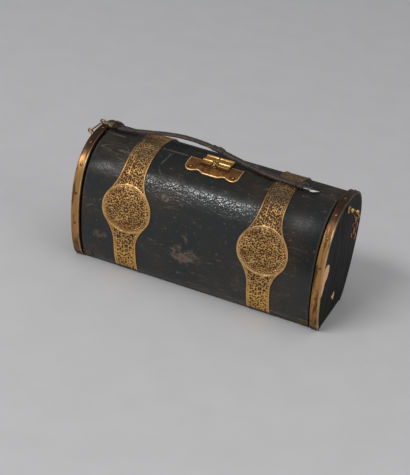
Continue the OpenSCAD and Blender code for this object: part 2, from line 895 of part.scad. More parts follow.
module frayed_end() {
  top = handle_z(handle_end) + handle_thickness / 2;
  low = top - handle_thickness;
  color("beige") skewed()
    through_y(-handle_width / 2, handle_width / 2 - FRAY_NARROWING)
      polygon([
        [handle_end, low],
        [handle_end, top],
        [handle_end + frayed_length / 2, top - FRAY_DROP / 2],
        [handle_end + frayed_length, top - FRAY_DROP],
        [handle_end + frayed_length, low - FRAY_DROP + FRAY_NARROWING],
        [handle_end + frayed_length / 2, low - FRAY_DROP / 2 + FRAY_SAG]
      ]);
}

module handle_clip() {
  low = handle_base - handle_thickness / 2 - CLIP_SHEET;
  high = handle_base + handle_thickness / 2 + CLIP_SHEET;
  side = handle_width / 2 + CLIP_SHEET;
  arm_start = clip_eye[0] + eye_radius - wire / 2;
  color("goldenrod") {
    skewed() difference() {
      through_y(-side, side)
        polygon([[clip_end, low], [clip_start, low], [clip_start, high + CLIP_SHEET],
                 [clip_end, high + CLIP_SHEET]]);
      handle_body();
    }
    translate([arm_start, -CLIP_ARM_WIDTH / 2, high + CLIP_SHEET - CLIP_ARM])
      cube([clip_end + CLIP_SHEET / 2 - arm_start, CLIP_ARM_WIDTH, CLIP_ARM]);
    translate([clip_eye[0], 0, clip_eye[1]]) eye();
  }
}

// A link in the X-Z plane: the wire of its upper bend passes through the origin
module link(straight) {
  translate([0, 0, -bend_radius - straight]) {
    for (across = [-1, 1]) translate([across * bend_radius, 0, 0]) cylinder(r = wire, h = straight);
    translate([0, 0, straight]) half_bend();
    mirror([0, 0, 1]) half_bend();
  }
}

module half_bend() {
  rotate([RIGHT_ANGLE, 0, 0])
    rotate_extrude(angle = 2 * RIGHT_ANGLE) translate([bend_radius, 0]) circle(wire);
}

// Long link between the left stud's eye and the handle's ring
module left_link() {
  color("goldenrod")
    translate([clip_pivot[0], 0, clip_pivot[1]])
      rotate([0, RIGHT_ANGLE - link_lean, 0])
        rotate([0, 0, RIGHT_ANGLE]) link(link_span - 2 * bend_radius);
}

// Links of the broken chain on the right stud, each turned square to the one before
module chain_link(number) {
  color("goldenrod")
    translate([tip_x, 0, chain_top + wire_pitch - (number - 1) * link_pitch])
      rotate([0, 0, RIGHT_ANGLE * (number % 2)]) link(link_straight);
}

// ---- Fitted inside ----
module fitted_block() {
  well = bottle_width + 2 * well_clearance;
  slot = comb_length + 2 * well_clearance;
  color("firebrick")
    difference() {
      along_x(-inside_half, inside_half)
        intersection() {
          outline(inside_inset, base_top);
          translate([-BLOCK_FRONT, base_top]) square([half_depth + BLOCK_FRONT, block_height]);
        }
      for (number = [0:2])
        translate([first_bottle + number * bottle_pitch - well / 2, BOTTLE_Y - well / 2, floor_z])
          cube([well, well, block_height]);
      translate([powder_x, POWDER_Y, floor_z])
        cylinder(r = powder_radius + well_clearance, h = block_height);
      translate([comb_x - slot / 2, COMB_Y - comb_thickness / 2 - well_clearance, floor_z])
        cube([slot, comb_thickness + 2 * well_clearance, block_height]);
      translate([recess_start, -RECESS_FRONT, floor_z])
        cube([inside_half - WELL_MARGIN - recess_start, 2 * RECESS_FRONT, block_height]);
    }
}

module bottle(number) {
  color("powderblue")
    translate([first_bottle + (number - 1) * bottle_pitch, BOTTLE_Y, floor_z])
      difference() {
        union() {
          translate([-bottle_width / 2, -bottle_width / 2, 0])
            cube([bottle_width, bottle_width, bottle_height]);
          translate([0, 0, bottle_height]) cylinder(r = neck_radius, h = neck_height);
          translate([0, 0, bottle_height + neck_height - NECK_LIP])
            cylinder(r = neck_radius + NECK_LIP, h = NECK_LIP);
        }
        translate([0, 0, bottle_height + neck_height - PLUG_LENGTH - OVERCUT])
          cylinder(r = PLUG_RADIUS, h = PLUG_LENGTH + 2 * OVERCUT);
      }
}

module stopper(number) {
  color("aliceblue")
    translate([first_bottle + (number - 1) * bottle_pitch, BOTTLE_Y, bottle_top + neck_height]) {
      translate([0, 0, -PLUG_LENGTH])
        cylinder(r = PLUG_RADIUS - PLUG_PLAY, h = PLUG_LENGTH + STOPPER_COLLAR);
      cylinder(r = neck_radius, h = STOPPER_COLLAR);
      translate([0, 0, STOPPER_COLLAR])
        cylinder(r1 = PLUG_RADIUS, r2 = neck_radius + NECK_LIP, h = stopper_height / 2);
      translate([0, 0, STOPPER_COLLAR + stopper_height / 2])
        cylinder(r1 = neck_radius + NECK_LIP, r2 = PLUG_RADIUS,
                 h = stopper_height / 2 - STOPPER_COLLAR);
    }
}

module powder_box() {
  color("ivory")
    translate([powder_x, POWDER_Y, floor_z])
      difference() {
        cylinder(r = powder_radius, h = powder_height);
        translate([0, 0, BOX_FLOOR]) cylinder(r = powder_radius - powder_wall, h = powder_height);
      }
}

module powder_lid() {
  rim_radius = powder_radius - powder_wall - PLUG_PLAY;
  color("ivory")
    translate([powder_x, POWDER_Y, powder_top]) {
      cylinder(r = powder_radius + LID_OVERHANG, h = LID_THICKNESS);
      translate([0, 0, -LID_RIM]) difference() {
        cylinder(r = rim_radius, h = LID_RIM + LID_THICKNESS / 2);
        cylinder(r = rim_radius - LID_RIM_WALL, h = LID_RIM);
      }
      translate([0, 0, LID_THICKNESS]) cylinder(r = KNOB_RADIUS / 2, h = KNOB_RISE);
      translate([0, 0, LID_THICKNESS + KNOB_RISE]) sphere(KNOB_RADIUS);
    }
}

module comb() {
  pitch = comb_length / (2 * COMB_TEETH + 1);
  color("tan")
    translate([comb_x - comb_length / 2, COMB_Y - comb_thickness / 2, floor_z])
      difference() {
        cube([comb_length, comb_thickness, comb_height]);
        for (gap = [0:COMB_TEETH - 1])
          translate([(2 * gap + 1) * pitch, -OVERCUT, -OVERCUT])
            cube([pitch, comb_thickness + 2 * OVERCUT, comb_height - COMB_BACK + OVERCUT]);
      }
}

// ---- What is drawn ----
end_board(-1);  // left_end_board
end_board(1);  // right_end_board
end_band(-1);  // left_band
end_band(1);  // right_band
band_nails();
end_leather(-1);  // left_end_leather
end_leather(1);  // right_end_leather
end_lining(-1);  // left_end_lining
end_lining(1);  // right_end_lining
base_board();
base_leather();
back_board();
back_leather();
back_lining();
top_rail();
rear_strap(left_strap_x);  // rear_left_strap
rear_strap(right_strap_x);  // rear_right_strap
catch_plate();
left_stud();
right_stud();
hinge_pin(-1);  // left_hinge_pin
hinge_pin(1);  // right_hinge_pin
fitted_block();
cover_board();
cover_leather();
cover_lining();
front_strap(left_strap_x);  // front_left_strap
front_strap(right_strap_x);  // front_right_strap
knuckle(-1);  // left_knuckle
knuckle(1);  // right_knuckle
lock_plate();
lock_case();
lock_tongue();
lock_pins();
mirror_backing();
mirror_glass();
mirror_frame();
push_button();
left_link();
handle_clip();
handle_strap();
handle_keepers();
frayed_end();
chain_link(1);  // chain_link_1
chain_link(2);  // chain_link_2
chain_link(3);  // chain_link_3
chain_link(4);  // chain_link_4
bottle(1);  // bottle_1
bottle(2);  // bottle_2
bottle(3);  // bottle_3
stopper(1);  // stopper_1
stopper(2);  // stopper_2
stopper(3);  // stopper_3
powder_box();
powder_lid();
comb();
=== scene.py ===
import math

import bpy
import numpy as np
from mathutils import Matrix, Vector


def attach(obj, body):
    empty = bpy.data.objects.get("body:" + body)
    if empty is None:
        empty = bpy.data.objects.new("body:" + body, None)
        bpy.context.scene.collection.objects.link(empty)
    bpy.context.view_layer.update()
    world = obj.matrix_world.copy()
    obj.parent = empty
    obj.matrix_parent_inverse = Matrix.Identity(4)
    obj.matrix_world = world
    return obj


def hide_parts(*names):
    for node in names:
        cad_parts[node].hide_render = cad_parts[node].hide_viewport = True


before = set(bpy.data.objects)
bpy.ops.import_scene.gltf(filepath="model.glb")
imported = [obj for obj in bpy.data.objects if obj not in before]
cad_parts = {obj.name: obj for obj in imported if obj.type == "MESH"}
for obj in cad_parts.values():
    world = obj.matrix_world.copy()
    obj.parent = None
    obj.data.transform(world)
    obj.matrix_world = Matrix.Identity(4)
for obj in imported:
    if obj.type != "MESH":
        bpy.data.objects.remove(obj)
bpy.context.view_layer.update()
scene = bpy.context.scene
mm = 0.001
print("frame loaded:", len(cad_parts), "nodes")


# Camera
cameraView = {
    "azimuth": 19.63,  # degrees round to the box's right
    "elevation": 29.07,
    "roll": 7.49,
    "distance": 1.136065,
    "aimHeight": 0.060,
    "aimRight": -0.0086392,
    "aimUp": -0.0194919,
    "lens": 104.54,
}


def makeCamera(view):
    azimuth, elevation, roll = (math.radians(view[k]) for k in ("azimuth", "elevation", "roll"))
    back = Vector((
        math.sin(azimuth) * math.cos(elevation),
        -math.cos(azimuth) * math.cos(elevation),
        math.sin(elevation),
    ))
    level = Vector((math.cos(azimuth), math.sin(azimuth), 0))
    above = back.cross(level)
    right = math.cos(roll) * level + math.sin(roll) * above
    up = -math.sin(roll) * level + math.cos(roll) * above
    aim = Vector((0, 0, view["aimHeight"])) + view["aimRight"] * right + view["aimUp"] * up
    data = bpy.data.cameras.new("camera")
    data.lens = view["lens"]
    data.sensor_width = 36
    data.clip_end = 20
    camera = bpy.data.objects.new("camera", data)
    turn = Matrix((right, up, back)).transposed().to_4x4()
    camera.matrix_world = Matrix.Translation(aim + view["distance"] * back) @ turn
    scene.collection.objects.link(camera)
    scene.camera = camera


makeCamera(cameraView)


# Node helpers
def put(tree, kind, inputs=None, **settings):
    # Adds a node; an input that is a socket is linked, any other is a value
    item = tree.nodes.new(kind)
    for key, value in settings.items():
        setattr(item, key, value)
    for key, value in (inputs or {}).items():
        if isinstance(value, bpy.types.NodeSocket):
            tree.links.new(value, item.inputs[key])
        else:
            item.inputs[key].default_value = value
    return item


def maths(tree, kind, first, second=0.0):
    return put(tree, "ShaderNodeMath", {0: first, 1: second}, operation=kind).outputs[0]


def plus(tree, first, second):
    return maths(tree, "ADD", first, second)


def minus(tree, first, second):
    return maths(tree, "SUBTRACT", first, second)


def times(tree, first, second):
    return maths(tree, "MULTIPLY", first, second)


def mixed(tree, share, first, second):
    item = put(tree, "ShaderNodeMix", {0: share}, data_type="RGBA")
    for index, value in ((6, first), (7, second)):
        if isinstance(value, bpy.types.NodeSocket):
            tree.links.new(value, item.inputs[index])
        else:
            item.inputs[index].default_value = (*value, 1)
    return item.outputs[2]


def spread(tree, value, low, high, start=0.0, end=1.0):
    # A value carried from one range to another with soft ends
    inputs = {"Value": value, "From Min": low, "From Max": high, "To Min": start, "To Max": end}
    kind = "SMOOTHSTEP"
    return put(tree, "ShaderNodeMapRange", inputs, interpolation_type=kind).outputs[0]


def drawnOut(tree, place, scale, lean=0.0):
    # Places for a pattern that is drawn out along an axis and leans in the upright plane
    inputs = {"Vector": place, "Rotation": (0, lean, 0), "Scale": scale}
    return put(tree, "ShaderNodeMapping", inputs).outputs[0]


def noise(tree, place, scale, detail=4.0, rough=0.55, warp=0.0):
    inputs = {"Vector": place, "Scale": scale, "Detail": detail, "Roughness": rough, "Distortion": warp}
    return put(tree, "ShaderNodeTexNoise", inputs).outputs["Fac"]


def cells(tree, place, scale, feature="DISTANCE_TO_EDGE", jitter=1.0):
    inputs = {"Vector": place, "Scale": scale, "Randomness": jitter}
    return put(tree, "ShaderNodeTexVoronoi", inputs, feature=feature).outputs["Distance"]


def attribute(tree, name):
    return put(tree, "ShaderNodeAttribute", attribute_name=name).outputs["Fac"]


def startMaterial(name):
    material = bpy.data.materials.new(name)
    material.use_nodes = True
    tree = material.node_tree
    place = put(tree, "ShaderNodeTexCoord").outputs["Object"]
    return material, tree, place, tree.nodes["Principled BSDF"]


def dress(tree, shader, colour=None, rough=None, bump=None, strength=0.3, depth=0.0002, **values):
    # Links what varies over the surface and sets what doesn't
    if colour is not None:
        if isinstance(colour, bpy.types.NodeSocket):
            tree.links.new(colour, shader.inputs["Base Color"])
        else:
            shader.inputs["Base Color"].default_value = (*colour, 1)
    if isinstance(rough, bpy.types.NodeSocket):
        tree.links.new(rough, shader.inputs["Roughness"])
    elif rough is not None:
        shader.inputs["Roughness"].default_value = rough
    if bump is not None:
        inputs = {"Height": bump, "Strength": strength, "Distance": depth}
        normal = put(tree, "ShaderNodeBump", inputs).outputs[0]
        tree.links.new(normal, shader.inputs["Normal"])
    for key, value in values.items():
        label = {
            "metallic": "Metallic", "coat": "Coat Weight", "coatRough": "Coat Roughness",
            "specular": "Specular IOR Level", "sheen": "Sheen Weight", "sheenRough": "Sheen Roughness",
            "clear": "Transmission Weight", "ior": "IOR", "sheenTint": "Sheen Tint",
        }[key]
        if isinstance(value, bpy.types.NodeSocket):
            tree.links.new(value, shader.inputs[label])
        else:
            shader.inputs[label].default_value = value


# Leather
coverLeather = {
    "black": (0.016, 0.0185, 0.019),
    "brown": (0.034, 0.027, 0.021),
    "rubbed": (0.155, 0.112, 0.078),
    "pale": (0.20, 0.175, 0.145),
    "crack": (0.006, 0.006, 0.006),
    "crackleSize": 4.0 * mm,
}


def makeCoverLeather(look):
    material, tree, place, shader = startMaterial("blackBoxLeather")
    slow = noise(tree, place, 22, 3)
    fine = noise(tree, place, 260, 6, 0.65)
    ground = mixed(tree, spread(tree, slow, 0.42, 0.72), look["black"], look["brown"])
    ground = mixed(tree, spread(tree, fine, 0.55, 0.8, 0, 0.35), ground, look["brown"])
    # rubbed places come from an attribute; noise drawn out along the box tears their edges
    drawn = drawnOut(tree, place, (0.45, 1, 1))
    slant = drawnOut(tree, place, (1, 1, 0.3), 0.7)
    flakes = times(tree, noise(tree, slant, 300, 6, 0.8, 0.6), 0.6)
    flakes = plus(tree, noise(tree, drawn, 380, 8, 0.8, 0.6), flakes)
    torn = plus(tree, attribute(tree, "worn"), times(tree, minus(tree, flakes, 0.80), 4.6))
    worn = spread(tree, torn, 0.35, 1.15, 0.0, 0.9)
    ground = mixed(tree, worn, ground, look["rubbed"])
    # long fine scratches in two directions
    scratches = None
    for turn, size in ((0.55, 60.0), (-0.8, 75.0), (1.2, 48.0)):
        lines = noise(tree, drawnOut(tree, place, (0.12, 1, 1), turn), size, 2, 0.5, 1.6)
        thin = spread(tree, maths(tree, "ABSOLUTE", minus(tree, lines, 0.5)), 0.0, 0.006, 1, 0)
        patch = spread(tree, noise(tree, place, 16 + size / 10, 2), 0.56, 0.66)
        line = times(tree, thin, patch)
        scratches = line if scratches is None else maths(tree, "MAXIMUM", scratches, line)
    scratches = maths(tree, "MAXIMUM", scratches, attribute(tree, "scratch"))
    ground = mixed(tree, times(tree, scratches, 0.5), ground, look["pale"])
    # crackled finish: little domes parted by fine cracks, coarse ones broken by finer ones
    crackle = None
    for size, share in ((look["crackleSize"], 0.62), (0.5 * look["crackleSize"], 0.38)):
        dome = minus(tree, 1.0, cells(tree, place, 1 / size, "F1"))
        gap = spread(tree, cells(tree, place, 1 / size), 0.0, 0.09)
        layer = times(tree, plus(tree, times(tree, dome, 0.7), times(tree, gap, 0.6)), share)
        crackle = layer if crackle is None else plus(tree, crackle, layer)
    amount = attribute(tree, "crackle")
    cracks = spread(tree, cells(tree, place, 1 / look["crackleSize"]), 0.0, 0.07, 1.0, 0.0)
    cracks = times(tree, cracks, amount)
    ground = mixed(tree, times(tree, cracks, 0.5), ground, look["crack"])
    grain = plus(tree, times(tree, fine, 0.45), times(tree, crackle, amount))
    rough = plus(tree, spread(tree, fine, 0.3, 0.75, 0.30, 0.46), times(tree, worn, 0.25))
    # the crackled strip halfway up is glossy; the leather is duller above it and towards the right
    gloss, matte = attribute(tree, "gloss"), attribute(tree, "matte")
    rough = minus(tree, rough, times(tree, gloss, 0.14))
    rough = plus(tree, rough, times(tree, matte, 0.25))
    shine = minus(tree, times(tree, gloss, 0.8), times(tree, matte, 0.36))
    shine = maths(tree, "MINIMUM", maths(tree, "MAXIMUM", plus(tree, shine, 0.42), 0.06), 1.0)
    dress(tree, shader, ground, rough, grain, 0.8, 0.6 * mm, specular=shine)
    return material


leatherBlack = makeCoverLeather(coverLeather)


# Gilt metals
giltColours = {
    # bright, deep and dark
    "lockGilt": ((0.50, 0.28, 0.11), (0.33, 0.165, 0.06), (0.10, 0.05, 0.02)),
    "barGilt": ((0.74, 0.46, 0.165), (0.54, 0.29, 0.09), (0.09, 0.042, 0.014)),
    "studGilt": ((0.70, 0.48, 0.20), (0.46, 0.28, 0.11), (0.12, 0.065, 0.03)),
    "chainBrass": ((0.52, 0.31, 0.17), (0.33, 0.17, 0.105), (0.075, 0.04, 0.03)),
    "clipBrass": ((0.52, 0.40, 0.19), (0.30, 0.22, 0.10), (0.05, 0.038, 0.02)),
    "hingeBrass": ((0.17, 0.11, 0.06), (0.085, 0.052, 0.03), (0.03, 0.02, 0.014)),
    "tackBrass": ((0.27, 0.145, 0.06), (0.14, 0.07, 0.032), (0.05, 0.03, 0.02)),
}


def makeGilt(name, rough, patina, dents, grimy=True, specks=0.55):
    # Polished on what stands proud, browner where it is handled less, dark in the hollows from dirt, and
    # dark as painted shade on the lock case's and catch's lower faces and in the push button's recessed ring
    bright, deep, dark = giltColours[name]
    material, tree, place, shader = startMaterial(name)
    slow = noise(tree, place, patina, 4, 0.6)
    fine = noise(tree, place, 900, 5, 0.6)
    colour = mixed(tree, spread(tree, slow, 0.38, 0.68), bright, deep)
    colour = mixed(tree, spread(tree, fine, 0.58, 0.78, 0, specks), colour, dark)
    roughness = spread(tree, slow, 0.3, 0.75, rough - 0.06, rough + 0.14)
    if grimy:
        hollow = attribute(tree, "grime")
        colour = mixed(tree, hollow, colour, dark)
        roughness = plus(tree, roughness, times(tree, hollow, 0.3))
    bump = plus(tree, slow, times(tree, fine, 0.5))
    dress(tree, shader, colour, roughness, bump, dents, 0.15 * mm, metallic=1.0)
    return material


bandColours = {
    # bright, brown, dark and the painted highlight along an edge
    "endBandGilt": ((0.50, 0.265, 0.09), (0.16, 0.07, 0.029), (0.05, 0.028, 0.018), (0.86, 0.62, 0.34)),
    "lockPlateGilt": ((0.37, 0.17, 0.052), (0.20, 0.072, 0.024), (0.06, 0.03, 0.012), (0.86, 0.60, 0.28)),
}


def makeBandGilt(name):
    # Gilding drawn along the band: golden where the tone is high, red-brown and dark where it is low, and a
    # painted highlight where the glint is set; on the bands the low tone is painted shade, on the lock plate
    # it is dirt and painted shade
    bright, brown, dark, edge = bandColours[name]
    material, tree, place, shader = startMaterial(name)
    lay = drawnOut(tree, place, (1, 0.3, 0.12))
    streaks = noise(tree, lay, 420, 5, 0.6)
    slow = noise(tree, place, 75, 5, 0.65)
    tone = plus(tree, attribute(tree, "tone"), times(tree, minus(tree, slow, 0.5), 0.9))
    colour = mixed(tree, spread(tree, tone, 0.2, 0.85), brown, bright)
    colour = mixed(tree, spread(tree, tone, 0.0, 0.3, 0.85, 0.0), colour, dark)
    colour = mixed(tree, spread(tree, streaks, 0.46, 0.64, 0, 0.82), colour, dark)
    colour = mixed(tree, attribute(tree, "glint"), colour, edge)
    rough = spread(tree, streaks, 0.3, 0.7, 0.40, 0.54)
    rough = minus(tree, rough, times(tree, attribute(tree, "glint"), 0.08))
    bump = plus(tree, times(tree, streaks, 0.6), slow)
    dress(tree, shader, colour, rough, bump, 0.35, 0.15 * mm, metallic=0.9)
    return material


bandGilt = makeBandGilt("endBandGilt")
plateGilt = makeBandGilt("lockPlateGilt")
lockGilt = makeGilt("lockGilt", 0.36, 110, 0.25)
barGilt = makeGilt("barGilt", 0.35, 90, 0.02, specks=0.06)
studGilt = makeGilt("studGilt", 0.28, 300, 0.15)
chainBrass = makeGilt("chainBrass", 0.38, 400, 0.3)
clipBrass = makeGilt("clipBrass", 0.32, 300, 0.3)
hingeBrass = makeGilt("hingeBrass", 0.5, 260, 0.4, grimy=False)
tackBrass = makeGilt("tackBrass", 0.40, 300, 0.15, grimy=False)
print("materials made")


# Surfaces of the box
box = {
    "length": 220.0,
    "height": 109.7,
    "depth": 91.2,
    "foot": 53.4,
    "widest": 59.4,
    "upper": 2.4,
    "lower": 1.67,
    "endThickness": 7.1,
    "skin": 2.0,
    "coverHalf": 101.3,
    "innerFace": 102.9,
    "seam": 5.6,
    "coverEdge": 6.0,
}


def sideCurve(turn, inset):
    # Two quarter superellipses: 0 is the foot, 90 the widest point and 180 the middle of the top.
    # The distance from the middle grows as a power of the sine below and falls as one of the
    # cosine above; the height follows the other function. Millimetres in, millimetres out.
    turn = np.asarray(turn, float)
    inset = np.asarray(inset, float)
    halfFoot, halfDepth = box["foot"] / 2, box["depth"] / 2
    lowAngle = np.radians(np.clip(turn, 0, 90))
    highAngle = np.radians(np.clip(turn - 90, 0, 90))
    low = turn <= 90
    outLow = halfFoot + (halfDepth - inset - halfFoot) * np.sin(lowAngle) ** (2 / box["lower"])
    outHigh = (halfDepth - inset) * np.maximum(np.cos(highAngle), 0) ** (2 / box["upper"])
    riseLow = inset + (box["widest"] - inset) * (1 - np.maximum(np.cos(lowAngle), 0) ** (2 / box["lower"]))
    crown = box["height"] - inset - box["widest"]
    riseHigh = box["widest"] + crown * np.sin(highAngle) ** (2 / box["upper"])
    return np.where(low, outLow, outHigh), np.where(low, riseLow, riseHigh)


def wrapPoint(x, station, inset):
    # Station 0 to 180 climbs the front, 180 to 360 goes down the back
    x, station, inset = np.broadcast_arrays(*(np.asarray(part, float) for part in (x, station, inset)))
    front = station <= 180
    out, rise = sideCurve(np.where(front, station, 360 - station), inset)
    return np.stack([x, np.where(front, -out, out), rise], -1) * mm


denseStation = np.linspace(0, 360, 7201)
densePlace = wrapPoint(0, denseStation, box["skin"]) / mm
denseArc = np.concatenate([[0], np.cumsum(np.linalg.norm(np.diff(densePlace, axis=0), axis=1))])


def arcOf(station):
    return np.interp(station, denseStation, denseArc)


def stationOf(arc):
    return np.interp(arc, denseArc, denseStation)


def stationAtFrontY(y, inset=box["skin"]):
    # Station on the upper front where the surface is y millimetres before the middle
    halfDepth = box["depth"] / 2
    return 90 + np.degrees(np.arccos((y / (halfDepth - inset)) ** (box["upper"] / 2)))


# Meshes from grids
def enclosedVolume(mesh):
    # Sum of the signed tetrahedra between the origin and every triangle
    mesh.calc_loop_triangles()
    corners = np.empty(len(mesh.vertices) * 3)
    mesh.vertices.foreach_get("co", corners)
    triangles = np.empty(len(mesh.loop_triangles) * 3, int)
    mesh.loop_triangles.foreach_get("vertices", triangles)
    a, b, c = corners.reshape(-1, 3)[triangles.reshape(-1, 3)].transpose(1, 0, 2)
    return np.sum(a * np.cross(b, c)) / 6


def newPiece(name, points, faces, material, body, slot, smooth=35.0, caps=(), node=None, **values):
    # Makes a mesh object from arrays of points and faces; values are attributes, one per point.
    # A piece that stands in for a part of the frame names it as its node.
    points = np.asarray(points, float).reshape(-1, 3)
    faces = np.asarray(faces, int).tolist() + [list(cap) for cap in caps]
    mesh = bpy.data.meshes.new(name)
    mesh.from_pydata(points.tolist(), [], faces)
    mesh.validate()
    if enclosedVolume(mesh) < 0:
        mesh.flip_normals()
    for key, value in values.items():
        layer = mesh.attributes.new(key, "FLOAT", "POINT")
        layer.data.foreach_set("value", np.asarray(value, np.float32).ravel())
    mesh.shade_smooth()
    if smooth:
        mesh.set_sharp_from_angle(angle=math.radians(smooth))
    mesh.materials.append(material)
    piece = bpy.data.objects.new(name, mesh)
    scene.collection.objects.link(piece)
    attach(piece, body)
    if node:
        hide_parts(node)
    return piece


def gridFaces(rows, columns, closedRows=False, closedColumns=False, start=0):
    # Quads that join each point of a grid to the next row and column
    r = np.arange(rows if closedRows else rows - 1)
    c = np.arange(columns if closedColumns else columns - 1)
    r, c = np.meshgrid(r, c, indexing="ij")
    down, along = (r + 1) % rows, (c + 1) % columns
    corners = [r * columns + c, r * columns + along, down * columns + along, down * columns + c]
    return np.stack(corners, -1).reshape(-1, 4) + start


def slabFaces(rows, columns):
    # A closed sheet: an outer grid, then an inner grid of the same size, and the four edges
    outer = gridFaces(rows, columns)
    inner = gridFaces(rows, columns, start=rows * columns)[:, ::-1]
    shift = rows * columns
    r, c = np.arange(rows - 1), np.arange(columns - 1)
    first, last = r * columns, r * columns + columns - 1
    sideA = np.stack([first, first + columns, first + columns + shift, first + shift], -1)
    sideB = np.stack([last, last + shift, last + columns + shift, last + columns], -1)
    top, end = c, (rows - 1) * columns + c
    sideC = np.stack([top, top + shift, top + 1 + shift, top + 1], -1)
    sideD = np.stack([end, end + 1, end + 1 + shift, end + shift], -1)
    return np.concatenate([outer, inner, sideA, sideB, sideC, sideD])


def stacked(outer, inner):
    # The points of an outer grid, then those of an inner one
    return np.concatenate([outer.reshape(-1, 3), inner.reshape(-1, 3)])


def outerOnly(value):
    # A value for each point of the outer grid, and nothing on the inner one
    return np.concatenate([value.ravel(), np.zeros(value.size)])


def ringPiece(name, rings, material, body, slot, capped=True, **rest):
    # Joins closed rings of points, one after another, and fills the first and the last
    rows, count = rings.shape[:2]
    faces = gridFaces(rows, count, closedColumns=True, closedRows=not capped)
    caps = [list(range(count))[::-1], list(range((rows - 1) * count, rows * count))] if capped else []
    return newPiece(name, rings, faces, material, body, slot, caps=caps, **rest)


def circleRings(radius, height, angle, centre=(0, 0)):
    # Level circles about an upright axis, one for each radius and height
    radius, height = np.asarray(radius)[..., None], np.asarray(height)[..., None]
    x, y = centre[0] + radius * np.cos(angle), centre[1] + radius * np.sin(angle)
    return np.stack([x, y, height + 0 * angle], -1)


def turned(profile, centre, sides=64):
    # Rings of a profile (radius, height) about an upright axis, for a profile listed upwards
    profile = np.asarray(profile)
    return circleRings(profile[:, 0], profile[:, 1], roundAngles(sides), centre)


def softNoise(u, v, size, seed, octaves=3):
    # Smooth value noise: random lattice values joined by a cubic ease, with finer layers added
    total, weight, share = np.zeros(np.broadcast(u, v).shape), 0.0, 1.0
    for octave in range(octaves):
        lattice = np.random.RandomState(seed + octave).rand(64, 64)
        a, b = np.asarray(u) / size * 2**octave + 17.3, np.asarray(v) / size * 2**octave + 9.1
        i, j = np.floor(a).astype(int), np.floor(b).astype(int)
        s, t = a - i, b - j
        s, t = s * s * (3 - 2 * s), t * t * (3 - 2 * t)
        near = lattice[i % 64, j % 64] * (1 - s) + lattice[(i + 1) % 64, j % 64] * s
        far = lattice[i % 64, (j + 1) % 64] * (1 - s) + lattice[(i + 1) % 64, (j + 1) % 64] * s
        total = total + share * (near * (1 - t) + far * t)
        weight, share = weight + share, share * 0.5
    return total / weight


def ease(value, low, high):
    # Climbs from 0 at low to 1 at high, level at both ends
    t = np.clip((value - low) / (high - low), 0, 1)
    return t * t * (3 - 2 * t)


def fade(value, low, high):
    return 1 - ease(value, low, high)


def hump(value, middle, width):
    # Bell curve: the exponential of minus the square of the distance over the width
    return np.exp(-(((value - middle) / width) ** 2))


def dome(value, middle, half):
    # 1 less the square of the share of the way to the edge, and nothing past it
    return np.clip(1 - ((value - middle) / half) ** 2, 0, 1)


def roundAngles(count):
    return np.linspace(0, 2 * np.pi, count + 1)[:-1]


# Leather over the front cover, the top and the back
skinLook = {
    "thickness": 1.0,  # millimetres
    "lift": 0.08,
    "edgeRound": 0.35,
    "wave": 0.16,
    "ridgePitch": 2.6,
    "columns": 240,
    "rows": 190,
    # centre x, arc from the foot, half width, half height, tilt in degrees, strength
    "rubs": [
        (-8, 37.5, 20, 8, 7, 0.92), (-1, 45, 10, 6, 0, 0.75), (-15, 45, 8, 5, 20, 0.65),
        (-7, 56, 3, 8, 10, 0.55), (-31, 31, 5, 2, 0, 0.5), (-39, 45, 5, 2, 0, 0.5),
        (-30, 85, 5, 5, 0, 0.7), (-15, 84, 4, 3, 0, 0.6), (23, 51, 6, 1.5, 3, 0.6),
        (22, 45.7, 6, 1.2, 3, 0.6), (-13, 19, 8, 2, 0, 0.5), (4, 24, 9, 2, 0, 0.5),
        (-84, 35, 13, 6, 12, 0.62), (-88, 58, 7, 10, 40, 0.4), (60, 7, 60, 3.4, 0, 0.9),
        (-60, 5, 58, 2.6, 0, 0.8), (10, 10, 40, 2.6, 2, 0.6), (44, 50, 10, 3, 10, 0.4),
        (-38, 60, 8, 4, 20, 0.35), (-92, 62, 7, 12, 40, 0.25),
    ],
    # x and arc of both ends, then the width
    "scratches": [
        (-41, 126, -44, 109, 0.5), (-44, 109, -40, 103, 0.4), (-27, 62, -14, 48, 0.35),
        (-15, 61, -7, 56, 0.4), (-9.5, 67, -6, 60, 0.4), (-21.5, 79.5, -18.5, 72, 0.5),
        (-35, 42.5, -24, 44, 0.45), (8.7, 39, 30, 42, 0.4), (-46, 48, -60, 50, 0.5),
        (-96, 58, -84, 69, 0.4), (-36, 70, -28, 60, 0.3), (70, 80, 84, 62, 0.3), (-78, 92, -70, 84, 0.4),
    ],
}


def wornPlaces(x, arc, look):
    # Each rub is an ellipse with a soft edge; the strongest one counts at each point
    worn = np.zeros(np.broadcast(x, arc).shape)
    for cx, cs, halfX, halfS, tilt, strength in look["rubs"]:
        c, s = math.cos(math.radians(tilt)), math.sin(math.radians(tilt))
        u, v = (x - cx) * c + (arc - cs) * s, (arc - cs) * c - (x - cx) * s
        edge = 0.5 * softNoise(x, arc, 6, 40)
        worn = np.maximum(worn, strength * fade(np.hypot(u / halfX, v / halfS) + edge, 0.55, 1.3))
    return worn


def scratchLines(x, arc, look):
    # Distance to each short line, thinned out along its length by noise
    lines = np.zeros(np.broadcast(x, arc).shape)
    for x0, s0, x1, s1, width in look["scratches"]:
        wobble = 3 * (softNoise(x, arc, 9, 7) - 0.5)
        runX, runS = x1 - x0, s1 - s0
        along = np.clip(((x - x0) * runX + (arc - s0) * runS) / (runX**2 + runS**2), 0, 1)
        away = np.hypot(x + wobble - x0 - along * runX, arc - wobble - s0 - along * runS)
        line = fade(away, width * 0.4, width * 1.6) * ease(softNoise(x, arc, 3, 3), 0.35, 0.6)
        lines = np.maximum(lines, line)
    return lines


